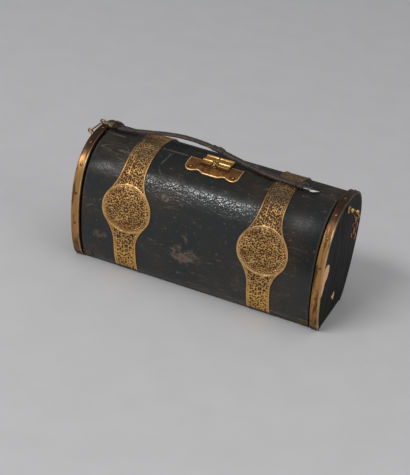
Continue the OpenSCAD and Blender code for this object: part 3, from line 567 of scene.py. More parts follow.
def leatherWear(x, arc, halfLength, arcLow, arcHigh, front, look):
    # Rubbed patches and scratches; the edges at both ends are worn pale, and each sheet's seam edge gets a
    # pale line that is partly wear and partly a painted highlight
    worn = wornPlaces(x, arc, look) if front else 0.5 * wornPlaces(-x + 12, arcOf(360) - arc, look)
    scratch = scratchLines(x, arc, look) if front else 0 * worn
    rim = arcHigh - arc if front else arc - arcLow
    # a pale line along the seam edge: wear and a painted highlight
    seamWearGlint = fade(np.abs(rim - 0.45), 0.15, 0.75) * ease(softNoise(x, arc, 11, 29), 0.3, 0.55)
    scratch = np.maximum(scratch, seamWearGlint * (0.5 if front else 1.1))
    rubbedEnd = fade(np.abs(halfLength - np.abs(x) - 0.5), 0.15, 0.7)
    rubbedEnd = rubbedEnd * ease(softNoise(x, arc, 16, 31), 0.35, 0.55)
    return worn, np.maximum(scratch, 0.6 * rubbedEnd * ease(arc, 8, 20))


def leatherShine(x, arc):
    # A glossy crackled strip between the straps, a bell curve across its wandering middle, and a
    # sheen near each end; matte above the strip, near the left end and from the right strap on
    between = ease(x, -58, -44) * fade(x, 40, 60)
    strip = between * hump(arc, 94.0 + 5 * (softNoise(x, arc, 12, 71) - 0.5), 6.5)
    sheen = hump(x, -85, 8) * hump(arc, 97, 4) + 0.6 * hump(x, 84, 11) * hump(arc, 98, 7)
    gloss = strip * (0.2 + 1.4 * softNoise(x, arc, 8, 53)) + 0.5 * sheen
    band = 0.10 * hump(arc, 97, 12) + 1.35 * strip + 0.3 * sheen
    crackle = np.clip(0.03 + band + 0.14 * ease(softNoise(x, arc, 30, 21), 0.45, 0.7), 0, 1.3)
    crackle = crackle * (0.45 + 1.1 * softNoise(x, arc, 13, 33))
    matte = fade(x, -84, -58) * ease(arc, 93, 99) * (0.6 + 0.6 * softNoise(x, arc, 8, 41))
    matte = np.maximum(matte, ease(arc, 97, 103) * ease(x, -60, -48) * fade(x, 84, 100))
    matte = np.maximum(matte, 0.9 * ease(x, 58, 72) * ease(arc, 50, 70)) * (1 - np.minimum(gloss, 1))
    return crackle, gloss, matte


def leatherSheet(name, node, body, halfLength, arcLow, arcHigh, front, look):
    # Sheet laid on the curve: columns run along the box and rows round it; its outer face sinks
    # towards each edge, waves a little and, behind, carries the tooled ridges along the top strip
    x = np.linspace(-halfLength, halfLength, look["columns"])[None, :]
    arc = np.linspace(arcLow, arcHigh, look["rows"])[:, None]
    border = np.minimum(np.minimum(halfLength - np.abs(x), arc - arcLow), arcHigh - arc)
    fall = look["edgeRound"] * fade(border, 0, 1.2)
    wave = look["wave"] * (softNoise(x, arc, 14, 5) - 0.5) + 0.10 * (softNoise(x, arc, 3.2, 12) - 0.5)
    inset = box["skin"] + look["lift"] + fall - wave
    if not front:
        run = arc - arcOf(180)
        zone = ease(run, -4.6, -4.2) * fade(run, 13.5, 14)
        inset = inset - 0.16 * zone * np.cos(run * 2 * math.pi / look["ridgePitch"]) * ease(-x, -40, 60)
    outer = wrapPoint(x, stationOf(arc), inset)
    inner = wrapPoint(x, stationOf(arc), box["skin"] + look["thickness"])
    worn, scratch = leatherWear(x, arc, halfLength, arcLow, arcHigh, front, look)
    crackle, gloss, matte = leatherShine(x, arc)
    newPiece(
        name, stacked(outer, inner), slabFaces(look["rows"], look["columns"]), leatherBlack, body,
        "black_leather", smooth=50, node=node, worn=outerOnly(worn), scratch=outerOnly(scratch),
        crackle=outerOnly(crackle), matte=outerOnly(matte), gloss=outerOnly(gloss),
    )


coverLow, coverHigh = arcOf(12), arcOf(stationAtFrontY(box["coverEdge"]))
railLow, backHigh = arcOf(stationAtFrontY(box["seam"])), arcOf(360)
coverHalf = box["coverHalf"]
leatherSheet("frontLeather", "cover_leather", "front_cover", coverHalf, coverLow, coverHigh, True, skinLook)
leatherSheet("rearLeather", "back_leather", "carcass", box["innerFace"], railLow, backHigh, False, skinLook)
print("leather laid")


# Gilt bands round the end plates
bandLook = {
    "lipWidth": 2.2,
    "lip": 0.7,
    "roll": 0.3,
    "sheet": 0.9,
    "corner": 0.75,
    "dish": 0.22,
    "rows": 260,
}


def bandSection(look):
    # Closed profile across a band, as pairs of x from the outer face and inset: a rounded lip,
    # a slightly dished tread, a second lip, then back along the inside
    width, corner = box["endThickness"], look["corner"]
    quarter = np.radians(np.linspace(0, 90, 6))
    outerLip = np.stack([corner * (1 - np.cos(quarter)), corner * (1 - np.sin(quarter))], -1)
    tread = np.linspace(corner, width - corner, 15)[1:-1]
    dish = look["dish"] * np.sin(np.pi * (tread - corner) / (width - 2 * corner)) ** 0.8
    lip, deep, roll = look["lip"], look["lipWidth"], look["roll"]
    outerHalf = np.concatenate([[[lip, deep - roll], [roll, deep], [0, deep - roll]], outerLip])
    innerHalf = np.array([width, 0]) + np.array([-1, 1]) * outerHalf[::-1]
    inside = [[width - lip, look["sheet"]], [lip, look["sheet"]]]
    return np.concatenate([outerHalf, np.stack([tread, dish], -1), innerHalf, inside])


def makeBand(name, node, side, look):
    # The profile is carried along the whole outline of the end plate, from foot to foot
    section = bandSection(look)
    station = stationOf(np.linspace(0, arcOf(360), look["rows"]))
    place = side * (box["length"] / 2 - section[:, 0])
    points = wrapPoint(place[None, :], station[:, None], section[None, :, 1])
    rows, count = points.shape[:2]
    faces = gridFaces(rows, count, closedColumns=True)
    points = points.reshape(-1, 3)
    caps = []
    for row, order in ((0, 1), (rows - 1, -1)):
        ring = row * count + np.arange(count)
        half = count // 2
        for k in range(half - 1):
            caps.append([ring[k], ring[k + 1], ring[count - 2 - k], ring[count - 1 - k]][::order])
    faces = np.concatenate([faces, np.array(caps)])
    # tone: golden from the foot to three quarters of the height and darker towards the foot, with painted
    # shade over the top, on the back half and at the very foot; glint: a painted highlight along one rounded
    # edge (the inner one on the left band, the outer one on the right), broken into patches, fainter low
    # down and gone over the top and behind
    height = points[:, 2] / mm
    tone = 1.05 - 1.1 * ease(height, 84, 106) - 0.55 * fade(height, 12, 42)
    behind = ease(points[:, 1] / mm, 4, 16)
    tone = tone - 1.4 * behind - 1.2 * fade(height, 2.5, 6.0)
    across = np.tile(section[:, 0], rows)
    inner = across if side > 0 else box["endThickness"] - across
    # rubbed only breaks the painted highlight line into patches
    rubbed = 0.35 + 0.65 * ease(softNoise(height, points[:, 1] / mm, 9, 3), 0.3, 0.6)
    glint = 0.85 * fade(np.abs(inner - 0.35), 0.1, 0.6) * rubbed * (1 - behind)
    glint = glint * (1 - 0.85 * ease(height, 96, 104)) * (0.55 + 0.45 * ease(height, 40, 80))
    newPiece(
        name, points, faces, bandGilt, "carcass", "gilt_band", smooth=50, tone=tone, glint=glint, node=node,
    )


makeBand("leftBandTrim", "left_band", -1, bandLook)
makeBand("rightBandTrim", "right_band", 1, bandLook)
print("bands made")


# Pierced gilt straps with medallions
strapLook = {
    "centres": (-61.0, 58.0),
    "halfWidth": 10.0,
    "medallion": 21.8,
    "medallionHeight": 63.8,
    "flare": 34.0,
    "columns": 121,
    "step": 0.34,  # millimetres from one row to the next
    "ground": 0.14,  # height of the hollows over the leather
    "wire": 0.72,  # height of the scrolls over the hollows
    "rim": 1.28,  # height of the rims over the leather
    "rimWidth": 1.35,
    "cell": 1.85,  # from one piercing to the next
    "vein": 0.95,  # from one engraved vein to the next
    "metal": 0.85,
    "pearls": 2.2,  # from one bead to the next round the medallion
    "pearlRadius": 17.8,
    "rings": ((20.6, 0.75, 1.22), (19.35, 0.3, 0.9)),  # radius, half width and height
    "gilt": (0.76, 0.455, 0.165),
    "worn": (0.50, 0.255, 0.085),
    "shaded": (0.085, 0.035, 0.011),
    "speck": (0.17, 0.075, 0.024),
    "bright": (0.80, 0.53, 0.25),
    "glow": (1.0, 0.60, 0.17),
    "strapShade": (0.16, 0.105, 0.05),
    "piercing": (0.030, 0.016, 0.006),
}


def makeLace(look):
    # Gilt on the raised work, darker as painted shade where it sinks towards the hollows, dark leather seen
    # through the piercings, the rims polished and painted brighter as a highlight, a painted highlight low
    # down and painted shade over the top and at the strap ends
    material, tree, place, shader = startMaterial("piercedStrapGilt")
    hollow, lift, rimPolishGlint = attribute(tree, "hollow"), attribute(tree, "lift"), attribute(tree, "rimPolishGlint")
    slow = noise(tree, place, 110, 4, 0.6)
    fine = noise(tree, place, 1300, 4, 0.6)
    gilt = mixed(tree, spread(tree, slow, 0.36, 0.66), look["gilt"], look["worn"])
    gilt = mixed(tree, spread(tree, lift, 0.15, 0.95, 0.95, 0.0), gilt, look["shaded"])
    gilt = mixed(tree, spread(tree, fine, 0.54, 0.72, 0, 0.45), gilt, look["speck"])
    gilt = mixed(tree, times(tree, rimPolishGlint, 0.7), gilt, look["bright"])
    gilt = mixed(tree, times(tree, attribute(tree, "glow"), lift), gilt, look["glow"])
    gilt = mixed(tree, attribute(tree, "strapShade"), gilt, look["strapShade"])
    seen = spread(tree, hollow, 0.35, 0.6)
    colour = mixed(tree, seen, gilt, look["piercing"])
    metal = spread(tree, hollow, 0.35, 0.6, look["metal"], 0.0)
    rough = plus(tree, spread(tree, slow, 0.3, 0.7, 0.44, 0.58), times(tree, seen, 0.3))
    rough = minus(tree, rough, times(tree, rimPolishGlint, 0.12))
    dress(tree, shader, colour, rough, fine, 0.25, 0.1 * mm, metallic=metal)
    return material


laceGilt = makeLace(strapLook)


def strapHalfWidth(z, look):
    # Straight band, circle round the medallion and a concave arc that joins the two
    half, radius, flare = look["halfWidth"], look["medallion"], look["flare"]
    away = np.abs(z - look["medallionHeight"])
    flareAway = math.sqrt((radius + flare) ** 2 - (half + flare) ** 2)
    meet = radius * flareAway / (radius + flare)
    circle = np.sqrt(np.maximum(radius**2 - away**2, 0))
    arc = half + flare - np.sqrt(np.maximum(flare**2 - (flareAway - np.clip(away, meet, flareAway)) ** 2, 0))
    return np.where(away < meet, circle, np.where(away < flareAway, arc, half))


def piercings(u, s, cell, seed, least=0.15):
    # Distance to the edge of the nearest comma-shaped hole, below nothing inside it. Each hole sits
    # off the middle of its cell of a grid, with its own turn, length, width and bend.
    column, row = np.floor(u / cell).astype(int), np.floor(s / cell).astype(int)
    table = np.random.RandomState(seed).rand(64, 64, 6)
    nearest = np.full(np.broadcast(u, s).shape, 9.0)
    for across in (-1, 0, 1):
        for along in (-1, 0, 1):
            i, j = column + across, row + along
            own = table[i % 64, j % 64]
            a = u - (i + 0.5 + 0.6 * (own[..., 0] - 0.5)) * cell
            b = s - (j + 0.5 * (i % 2) + 0.6 * (own[..., 1] - 0.5)) * cell
            turn = 2 * np.pi * own[..., 2]
            p, q = a * np.cos(turn) + b * np.sin(turn), b * np.cos(turn) - a * np.sin(turn)
            q = q + (own[..., 5] - 0.5) * 2.2 * p * p / cell
            length, width = cell * (0.26 + 0.24 * own[..., 3]), cell * (least + 0.13 * own[..., 4])
            nearest = np.minimum(nearest, (np.hypot(p / length, q / width) - 1) * width)
    return nearest


def strapHeights(u, edge, s, dz, look):
    # Rims along the outline and round the medallion, pierced and engraved work between them. The
    # height is the ground plus a bell, a bead or a flat crest, whichever stands at that place.
    r, angle = np.hypot(u, dz), np.arctan2(dz, u)
    outer = look["rings"][0][0]
    sway = 1.6 * (softNoise(u + 40, s, 4.5, 17) - 0.5), 1.6 * (softNoise(u + 140, s, 4.5, 27) - 0.5)
    holes = piercings(u + sway[0] + 80, s + sway[1] + 300, look["cell"], 5)
    wide = piercings(u + sway[0] + 80, s + sway[1] + 300, 1.3 * look["cell"], 5, 0.2)
    holes = np.where((dz < 0) & (r > outer), wide, holes)
    veins = piercings(u + sway[1] + 80, s + sway[0] + 300, look["vein"], 9, 0.12)
    petals = np.abs(((angle * 4 / np.pi + 0.5) % 1) - 0.5) * np.pi / 4 * r
    holes = np.where(r < 3.6, np.maximum(holes, 0.3), holes)
    holes = np.where(r < 3.0, petals - 0.42, holes)
    holes = np.where(r < 1.1, 0.5, holes)
    cover = ease(holes, -0.10, 0.16)
    wear = 0.75 + 0.5 * softNoise(u + 90, s, 5, 50)
    crest = 0.62 + 0.38 * ease(holes, 0.0, 0.4) - 0.34 * fade(veins, -0.12, 0.18)
    height = look["ground"] + look["wire"] * cover * np.clip(crest * wear, 0.12, 1.1)
    # beads side by side inside the medallion's ring, and along both rims of the band
    count = 2 * np.pi / look["pearls"]
    medallionBead = np.cos(angle * r * count) * dome(r, look["pearlRadius"], 1.05)
    bandBead = np.cos(s * count) * dome(edge, 2.2, 0.85) * (r > look["medallion"])
    bead = np.maximum(medallionBead, bandBead)
    here = np.abs(bead) > 0.02
    height = np.where(here, look["ground"] + 0.2 + 0.75 * np.clip(bead, 0, 1), height)
    cover = np.where(here, np.clip(0.3 + bead, 0, 1), cover)
    rim = dome(edge, look["rimWidth"] / 2, look["rimWidth"] / 2) ** 0.45
    here = edge < look["rimWidth"]
    height = np.where(here, 0.3 + (look["rim"] - 0.3) * rim, height)
    cover = np.where(edge < look["rimWidth"] + 0.05, 1.0, cover)
    # the rims are polished, and their brighter colour is a painted highlight
    rimPolishGlint = np.where(here, 0.75 * rim, 0)
    for radius, half, tall in look["rings"]:
        ring = dome(r, radius, half) ** 0.5
        here = (ring > 0) & (edge > 0.8)
        height = np.where(here, np.maximum(height, 0.25 + (tall - 0.25) * ring), height)
        cover = np.where(here, 1.0, cover)
        rimPolishGlint = np.where(here, ring, rimPolishGlint)
    rimPolishGlint = rimPolishGlint * (0.25 + 0.75 * ease(softNoise(u, s, 7, 23), 0.3, 0.6))
    return np.minimum(height, look["rim"]), cover, rimPolishGlint


def makeStrap(name, node, body, centre, arcLow, arcHigh, look):
    # Rows run round the box. Across each row the points spread to the outline, then turn under.
    rows, columns = int((arcHigh - arcLow) / look["step"]) + 1, look["columns"]
    arc = np.linspace(arcLow, arcHigh, rows)[:, None]
    station = stationOf(arc)
    z = wrapPoint(0, station, box["skin"])[..., 2] / mm
    half = strapHalfWidth(z, look)
    share = np.linspace(-1, 1, columns)[None, :]
    share = np.sign(share) * np.abs(share) ** 0.94
    u = share * half
    slope = np.gradient(half[:, 0], arc[:, 0])[:, None]
    edge = (half - np.abs(u)) / np.sqrt(1 + slope**2)
    endGap = np.minimum(arc - arcLow, arcHigh - arc) + 0 * u
    edge = np.minimum(edge, endGap + look["rimWidth"])
    dz = z - look["medallionHeight"] + 0 * u
    climb = np.linspace(60, 180, 400)
    centreStation = np.interp(look["medallionHeight"], wrapPoint(0, climb, box["skin"])[:, 2] / mm, climb)
    height, cover, rimPolishGlint = strapHeights(u, edge, arc - arcOf(centreStation) + 0 * u, dz, look)
    top = wrapPoint(centre + u, station, box["skin"] - height)
    under = wrapPoint(centre + u[:, [-1, 0]], station, box["skin"])
    lift = np.clip((height - look["ground"]) / 0.75, 0, 1)
    # painted shade over the top, at both ends of each strap and over the upper half of the right strap; a
    # painted highlight on the raised work near the foot
    strapShade = 0.75 * ease(z, 95, 106) * (0.5 + softNoise(u, arc, 8, 77)) + 0.6 * fade(endGap, 0.4, 2.0)
    strapShade = np.clip(strapShade + 0.34 * (centre > 0) * ease(z, 68, 82), 0, 1)
    glow = 0.8 * fade(z, 22, 40) + 0 * u
    shown = {"hollow": 1 - cover, "lift": lift, "rimPolishGlint": rimPolishGlint, "glow": glow, "strapShade": strapShade}
    shown = {word: np.pad(value, ((0, 0), (0, 2))) for word, value in shown.items()}
    rings = np.concatenate([top, under], axis=1)
    ringPiece(name, rings, laceGilt, body, "pierced_gilt", smooth=60, node=node, **shown)


strapLow, strapHigh = arcOf(15), arcOf(360 - 15)
for word, centre in zip(("Left", "Right"), strapLook["centres"]):
    low = word.lower()
    makeStrap(
        f"front{word}Lace", f"front_{low}_strap", "front_cover", centre, strapLow, coverHigh,
        strapLook,
    )
    makeStrap(f"rear{word}Lace", f"rear_{low}_strap", "carcass", centre, railLow, strapHigh, strapLook)
print("straps pierced")


# Lock plate, lock case, push button and catch
lockLook = {
    "x": -1.5,
    "halfWidth": 23.5,
    "back": 6.4,  # distances in front of the middle of the top
    "shoulder": 21.2,
    "lobe": (0.0, 11.7, 12.5),  # offset along the box, distance of the middle, radius
    "sideLobe": (17.9, 16.8, 5.6),
    "sheet": 1.3,
    "lip": 1.45,
    "columns": 190,
    "rows": 76,
    "pins": 18.5,  # offset of each pin along the box
    "pinAt": 18.0,
    "pinFoot": 0.75,
}


def lobeReach(x, lobe, power=2.0):
    # A circle's reach at a power of 2, squarer above it
    offset, away, radius = lobe
    share = np.minimum(np.abs(np.abs(x) - offset) / radius, 1)
    return away + radius * (1 - share**power) ** (1 / power) - 40 * (share >= 1)


def plateReach(x, look):
    # Smooth maximum of the shoulder and the lobes: log of the sum of their exponentials
    reach = [look["shoulder"] + 0 * x, lobeReach(x, look["lobe"], 2.1), lobeReach(x, look["sideLobe"])]
    sharp = 0.62
    joined = np.log(np.sum(np.exp(sharp * (np.stack(reach) - 18)), axis=0)) / sharp + 17.7
    corner = look["halfWidth"] - np.abs(x)
    return np.minimum(joined - 0.5, 16.8 + np.sqrt(np.maximum(5.6**2 - np.maximum(5.6 - corner, 0) ** 2, 0)))


def makeLockPlate(look):
    # A height field over the plate's outline: a raised lip, a shallow dome and engraved sprays
    columns, rows = look["columns"], look["rows"]
    share = np.linspace(-1, 1, columns)[:, None]
    x = look["halfWidth"] * np.sign(share) * (1 - (1 - np.abs(share)) ** 1.15)
    reach = plateReach(x, look)
    depth = np.linspace(0, 1, rows)[None, :] ** 0.9
    y = look["back"] + (reach - look["back"]) * depth
    slope = np.gradient(reach[:, 0], x[:, 0])[:, None]
    edge = np.minimum((reach - y) / np.sqrt(1 + slope**2), look["halfWidth"] - np.abs(x))
    lip = dome(edge, look["lip"] / 2, look["lip"] / 2) ** 0.5
    swell = 0.72 + 0.28 * hump(x, 0, 15) * hump(y, 13, 7)
    height = swell * look["sheet"] * 0.86
    # engraving: sprays that fan out from the middle of the seam edge
    r, angle = np.hypot(x, y - 4), np.arctan2(x, y - 4)
    spray = np.abs((angle * 7 / np.pi + 0.25 * np.sin(r * 0.55) + 0.5) % 1 - 0.5) * r * np.pi / 7
    ring = np.abs((r - 0.9 * np.sin(angle * 7)) - 12.5)
    cut = np.minimum(spray, ring)
    engraved = fade(cut, 0.05, 0.32) * ease(edge, 1.3, 2.2) * (0.5 + softNoise(x, y, 5, 61))
    height = height - 0.13 * engraved
    height = np.where(edge < look["lip"], np.maximum(0.25 + (look["sheet"] - 0.25) * lip, 0.2), height)
    # a dark line where the case stands on the plate: painted shade
    caseFoot = fade(np.abs(y - 13.2), 0.5, 1.2) * fade(np.abs(x), 12.2, 13.0)
    seamLip = fade(y - look["back"], 0.5, 1.1) * ease(np.abs(x), 12.5, 13.5)
    pinAway = np.hypot(np.abs(x) - look["pins"], y - look["pinAt"])
    height = height - 0.25 * fade(np.abs(pinAway - 1.55), 0.0, 0.4)
    # dark: dirt in the engraving, in the groove inside the lip and round the pins, and painted shade at the
    # case's foot
    grime = np.clip(engraved * 0.8 + fade(np.abs(edge - look["lip"] - 0.15), 0, 0.5) * 0.5, 0, 1)
    roundPins = np.maximum(fade(np.abs(pinAway - 1.5), 0.1, 0.55), fade(pinAway, 1.7, 2.2))
    grime = np.maximum(np.maximum(grime, 0.9 * roundPins), caseFoot)
    # glint: a painted highlight along the lip and along the seam edge beside the case
    glint = np.maximum(0.9 * lip * (edge < look["lip"]), 0.7 * seamLip)
    top = wrapPoint(look["x"] + x, stationAtFrontY(y), box["skin"] - height)
    floor = wrapPoint(look["x"] + x, stationAtFrontY(y), box["skin"])
    newPiece(
        "scallopedPlate", stacked(top, floor), slabFaces(columns, rows), plateGilt, "front_cover",
        "lock_gilt",
        smooth=60, node="lock_plate", tone=outerOnly(0.62 - 0.9 * grime), glint=outerOnly(glint),
    )


def makePins(look):
    # A pin's head as a lathe: rings from the rim of the washer up to the top of the dome
    radius = np.array([1.15, 1.2, 1.12, 0.95, 0.9, 0.72, 0.42, 0.12])
    height = np.array([0.0, 0.2, 0.36, 0.36, 0.42, 0.58, 0.68, 0.72])
    station, inset = stationAtFrontY(look["pinAt"]), box["skin"] - look["pinFoot"]
    for side, word, node in ((-1, "Left", "lock_pins"), (1, "Right", None)):
        foot = wrapPoint(look["x"] + side * look["pins"], station, inset) / mm
        rings = turned(np.stack([radius, foot[2] + height], -1), foot, 24) * mm
        ringPiece(
            f"lockPin{word}", rings, studGilt, "front_cover", "lock_gilt", smooth=40, node=node,
            grime=0 * rings[..., 0],
        )


caseLook = {
    "start": -13.5,
    "end": 10.5,
    "top": 109.7,
    "bar": 1.35,
    "round": 0.45,
}


def caseSection(front, back, low, barAt, look, notch, noBar):
    # Closed section in the Y-Z plane, the same number of points whatever is cut from it
    top, bar, corner = look["top"], look["bar"], look["round"]
    quarter = np.radians(np.linspace(0, 90, 6))
    y = [front + corner * (1 - np.cos(quarter))]
    z = [top - corner * (1 - np.sin(quarter))]
    half = np.radians(np.linspace(180, 0, 25))
    flat = np.linspace(front + corner, barAt - bar, 5)[1:-1]
    y += [flat, barAt + bar * np.cos(half)]
    z += [0 * flat + top, top + bar * np.sin(half) * (0 if noBar else 1)]
    y += [back - corner * (1 - np.cos(quarter[::-1])) if back - corner > barAt + bar else back + 0 * quarter]
    z += [top - corner * (1 - np.sin(quarter[::-1]))]
    y, z = np.concatenate(y), np.concatenate(z)
    if notch is not None:
        z = np.where(y < notch[0], np.minimum(z, notch[1]), z)
    y, z = np.append(y, [back, front]), np.append(z, [low[1], low[0]])
    return np.stack([y, z], -1)


def makeCase(name, node, body, front, back, low, barAt, cuts, look):
    # Sections from one end to the other; both ends are drawn in a little to round their edges
    stations = [look["start"], look["start"] + 0.12, look["start"] + 0.4]
    kinds = [0.35, 0.12, 0.0]
    marks = [None] * 3
    for left, right, cut in cuts:
        for x, here in ((left - 0.05, None), (left + 0.05, cut), (right - 0.05, cut), (right + 0.05, None)):
            stations.append(x)
            kinds.append(0.0)
            marks.append(here)
    stations += [look["end"] - 0.4, look["end"] - 0.12, look["end"]]
    kinds += [0.0, 0.12, 0.35]
    marks += [None] * 3
    rings = []
    for x, shrink, mark in zip(stations, kinds, marks):
        notch, noBar = mark if mark else (None, False)
        section = caseSection(front, back, low, barAt, look, notch, noBar)
        middle = np.array([0.5 * (front + back), 0.5 * (look["top"] + low[0])])
        span = np.array([0.5 * (back - front), 0.5 * (look["top"] - low[0])])
        section = middle + (section - middle) * (1 - shrink / span)
        rings.append(np.column_stack([np.full(len(section), x), section]))
    rings = np.array(rings)[:, ::-1]
    # clean on the bars, a dark line at each bar's foot on a top darkened a little, and the faces below the
    # top darker still as painted shade
    away = np.abs(rings[..., 1] - barAt)
    grime = ease(away, look["bar"], look["bar"] + 0.35) * fade(away, look["bar"] + 0.5, look["bar"] + 1.3)
    grime = np.where(rings[..., 2] > look["top"] + 0.2, 0.0, np.maximum(grime, 0.4))
    grime = np.where(rings[..., 2] < look["top"] - 0.3, 0.8, grime)
    ringPiece(name, rings * mm, barGilt, body, "lock_gilt", smooth=35, grime=grime, node=node)


buttonLook = {"x": -2.2, "half": 2.8, "floor": 107.5, "rise": 4.2, "front": -13.1, "back": -9.9}


def makeButton(look):
    # Arch outline; rings run from the middle of the front face out to the rim, then to the back
    half, rise = look["half"], look["rise"]
    arc = np.radians(np.linspace(180, 0, 25))
    outline = np.stack([half * np.cos(arc), rise - half + half * np.sin(arc)], -1)
    base = np.stack([np.linspace(half, -half, 9)[1:-1], np.zeros(7)], -1)
    outline = np.concatenate([outline, base])
    middle = np.array([0, rise * 0.45])
    # share of the outline, distance behind the front face
    steps = [
        (0.10, -0.6), (0.28, -0.5), (0.42, -0.2), (0.48, 0.35), (0.76, 0.45),
        (0.82, 0.0), (0.88, -0.12), (0.95, -0.02), (1.0, 0.22), (1.0, look["back"] - look["front"]),
    ]
    rings = []
    for share, behind in steps:
        flat = middle + (outline - middle) * share
        y = np.full(len(flat), look["front"] + behind)
        rings.append(np.column_stack([look["x"] + flat[:, 0], y, look["floor"] + flat[:, 1]]))
    # the recessed ring round the dome is darkened as painted shade
    grime = np.repeat([1.0 if 0.45 < share < 0.8 else 0.0 for share, behind in steps], len(outline))
    rings = np.array(rings)[:, ::-1] * mm
    ringPiece(
        "archButton", rings, barGilt, "button", "polished_gilt", smooth=40, grime=grime,
        node="push_button",
    )


makeLockPlate(lockLook)
makePins(lockLook)
makeCase(
    "lockCaseBar", "lock_case", "front_cover", -12.8, -6.4, (106.0, 106.9), -8.05,
    [(-5.15, 0.75, ((-8.4, 107.4), True))], caseLook,
)
makeCase(
    "catchBar", "catch_plate", "carcass", -5.2, 2.8, (107.2, 107.4), -0.05,
    [(-2.8, -1.6, (None, True))], caseLook,
)
makeButton(buttonLook)
print("lock made")


# Handle, keepers, torn end and clip
handleLook = {
    "base": 111.0,  # height of the middle of the leather at its ends
    "rise": 10.2,
    "top": -27.0,
    "reach": (74.0, 80.0),
    "turnAt": -101.8,
    "skew": -2.3,
    "start": -101.2,
    "end": 66.0,
    "halfWidth": 2.5,
    "half": 1.1,
    "stitch": 2.3,
}


handleColours = {
    # dark, brown and what shows pale
    "handleLeather": ((0.020, 0.016, 0.014), (0.045, 0.027, 0.018), (0.10, 0.08, 0.06)),
    "tornLeather": ((0.016, 0.011, 0.009), (0.040, 0.018, 0.012), (0.62, 0.57, 0.52)),
}


def makeHandleLeather(name):
    # Greasy dark leather, rubbed brown along its edges, with cracks and pale stitches
    dark, brown, thread = handleColours[name]
    material, tree, place, shader = startMaterial(name)
    slow = noise(tree, place, 90, 4, 0.6)
    fine = noise(tree, place, 700, 6, 0.65)
    colour = mixed(tree, spread(tree, slow, 0.45, 0.7), dark, brown)
    rub = times(tree, attribute(tree, "worn"), spread(tree, noise(tree, place, 260, 5), 0.35, 0.6))
    colour = mixed(tree, rub, colour, [1.9 * c for c in brown])
    colour = mixed(tree, attribute(tree, "thread"), colour, thread)
    creases = spread(tree, cells(tree, place, 420), 0.0, 0.08)
    bump = plus(tree, times(tree, fine, 0.6), times(tree, creases, 0.5))
    dress(tree, shader, colour, spread(tree, slow, 0.3, 0.7, 0.40, 0.58), bump, 0.6, 0.25 * mm, specular=0.5)
    return material


strapLeather = makeHandleLeather("handleLeather")
tornLeather = makeHandleLeather("tornLeather")


def handleLift(x, look):
    # The arch is a squared cosine that falls to nothing at its reach on either side
    reach = np.where(x < look["top"], look["reach"][0], look["reach"][1])
    share = np.clip(np.abs(x - look["top"]) / reach, 0, 1)
    return look["base"] + look["rise"] * np.cos(np.pi / 2 * share) ** 2


def skewed(points, look):
    # Turns points about the clipped end
    turn = math.radians(look["skew"])
    c, s = math.cos(turn), math.sin(turn)
    x, y = points[..., 0] - look["turnAt"], points[..., 1]
    return np.stack([x * c - y * s + look["turnAt"], x * s + y * c, points[..., 2]], -1)


def roundedSection(count, halfWidth, half, power):
    # Superellipse: each side is the cosine or sine of an even angle to the power of 2 over power
    angle = roundAngles(count)
    c, s = np.cos(angle), np.sin(angle)
    return halfWidth * np.sign(c) * np.abs(c) ** (2 / power), half * np.sign(s) * np.abs(s) ** (2 / power)


def alongHandle(x, across, lift, look):
    # Carries a section along the arch, square to it, as rings that run against the angle
    middle = handleLift(x, look)
    slope = np.gradient(middle[:, 0], x[:, 0])[:, None]
    fall = np.sqrt(1 + slope**2)
    points = [x - lift * slope / fall + 0 * across, across + 0 * x, middle + lift / fall]
    return skewed(np.stack(points, -1), look)[:, ::-1] * mm


def leatherRings(name, rings, material, smooth, worn, thread, node=None):
    # Rings of a handle piece with what is worn and what shows pale at each of their points
    shown = {"worn": worn, "thread": thread}
    shown = {word: np.broadcast_to(value, rings.shape[:2])[:, ::-1] for word, value in shown.items()}
    slot = "torn_leather" if material == tornLeather else "handle_leather"
    ringPiece(name, rings, material, "handle", slot, smooth=smooth, node=node, **shown)


def makeHandleStrap(look):
    x = np.linspace(look["start"], look["end"], 400)[:, None]
    across, lift = roundedSection(64, look["halfWidth"], look["half"], 5.0)
    across, lift = across[None, :], lift[None, :]
    narrow = 1.02 - 0.10 * softNoise(x, 0 * x, 9, 71) + 0.10 * ease(x, 40, 62)
    wave = 0.5 * (softNoise(x, across, 4, 72) - 0.5)
    top = ease(lift, 0.3, 0.8)
    lengthwise = (x / look["stitch"]) % 1
    seam = hump(np.abs(across), 1.75, 0.22) * top
    thread = seam * ease(np.abs(lengthwise - 0.5), 0.06, 0.14) * ease(softNoise(x, across, 9, 73), 0.2, 0.35)
    crack = ease(softNoise(x, across * 0.2, 1.6, 75), 0.74, 0.84)
    height = lift * (1 + wave) + 0.13 * thread - 0.10 * seam * (1 - thread)
    height = height + top * (0.12 * (1 - (across / look["halfWidth"]) ** 2) - 0.10 * crack)
    worn = np.clip(ease(np.abs(across), 1.9, look["halfWidth"]) + 0.5 * crack, 0, 1)
    rings = alongHandle(x, across * narrow, height, look)
    leatherRings("stitchedHandle", rings, strapLeather, 60, worn, thread, "handle_strap")


def makeKeeper(name, middle, seed, node, look):
    # A loop of thicker leather drawn tight round the strap, lumpy, with a bead at each end
    x = np.linspace(middle - 5.5, middle + 5.5, 56)[:, None]
    across, lift = roundedSection(48, look["halfWidth"] + 0.75, look["half"] + 0.62, 3.6)
    across, lift = across[None, :], lift[None, :]
    place = (x - middle) / 5.5
    ends = 1 - 0.22 * np.abs(place) ** 8
    lump = 1 + 0.42 * (softNoise(x, across * 1.5, 3.0, seed) - 0.42) + 0.06 * np.cos(place * np.pi * 3)
    bead = 0.35 * hump(np.abs(place), 0.86, 0.09)
    knot = 1.3 * hump(x, middle + 1.5, 1.9) * hump(across, 0.8, 1.6)
    height = np.where(
        lift > 0, lift * ends * lump + (bead + knot) * ease(lift, 0.3, 1.2), lift * 0.72 * ends,
    )
    rings = alongHandle(x, across * ends * (0.97 + 0.06 * (lump - 1)), height, look)
    leatherRings(name, rings, strapLeather, 60, np.clip(bead * 2.2 + knot * 0.6, 0, 1), 0, node)


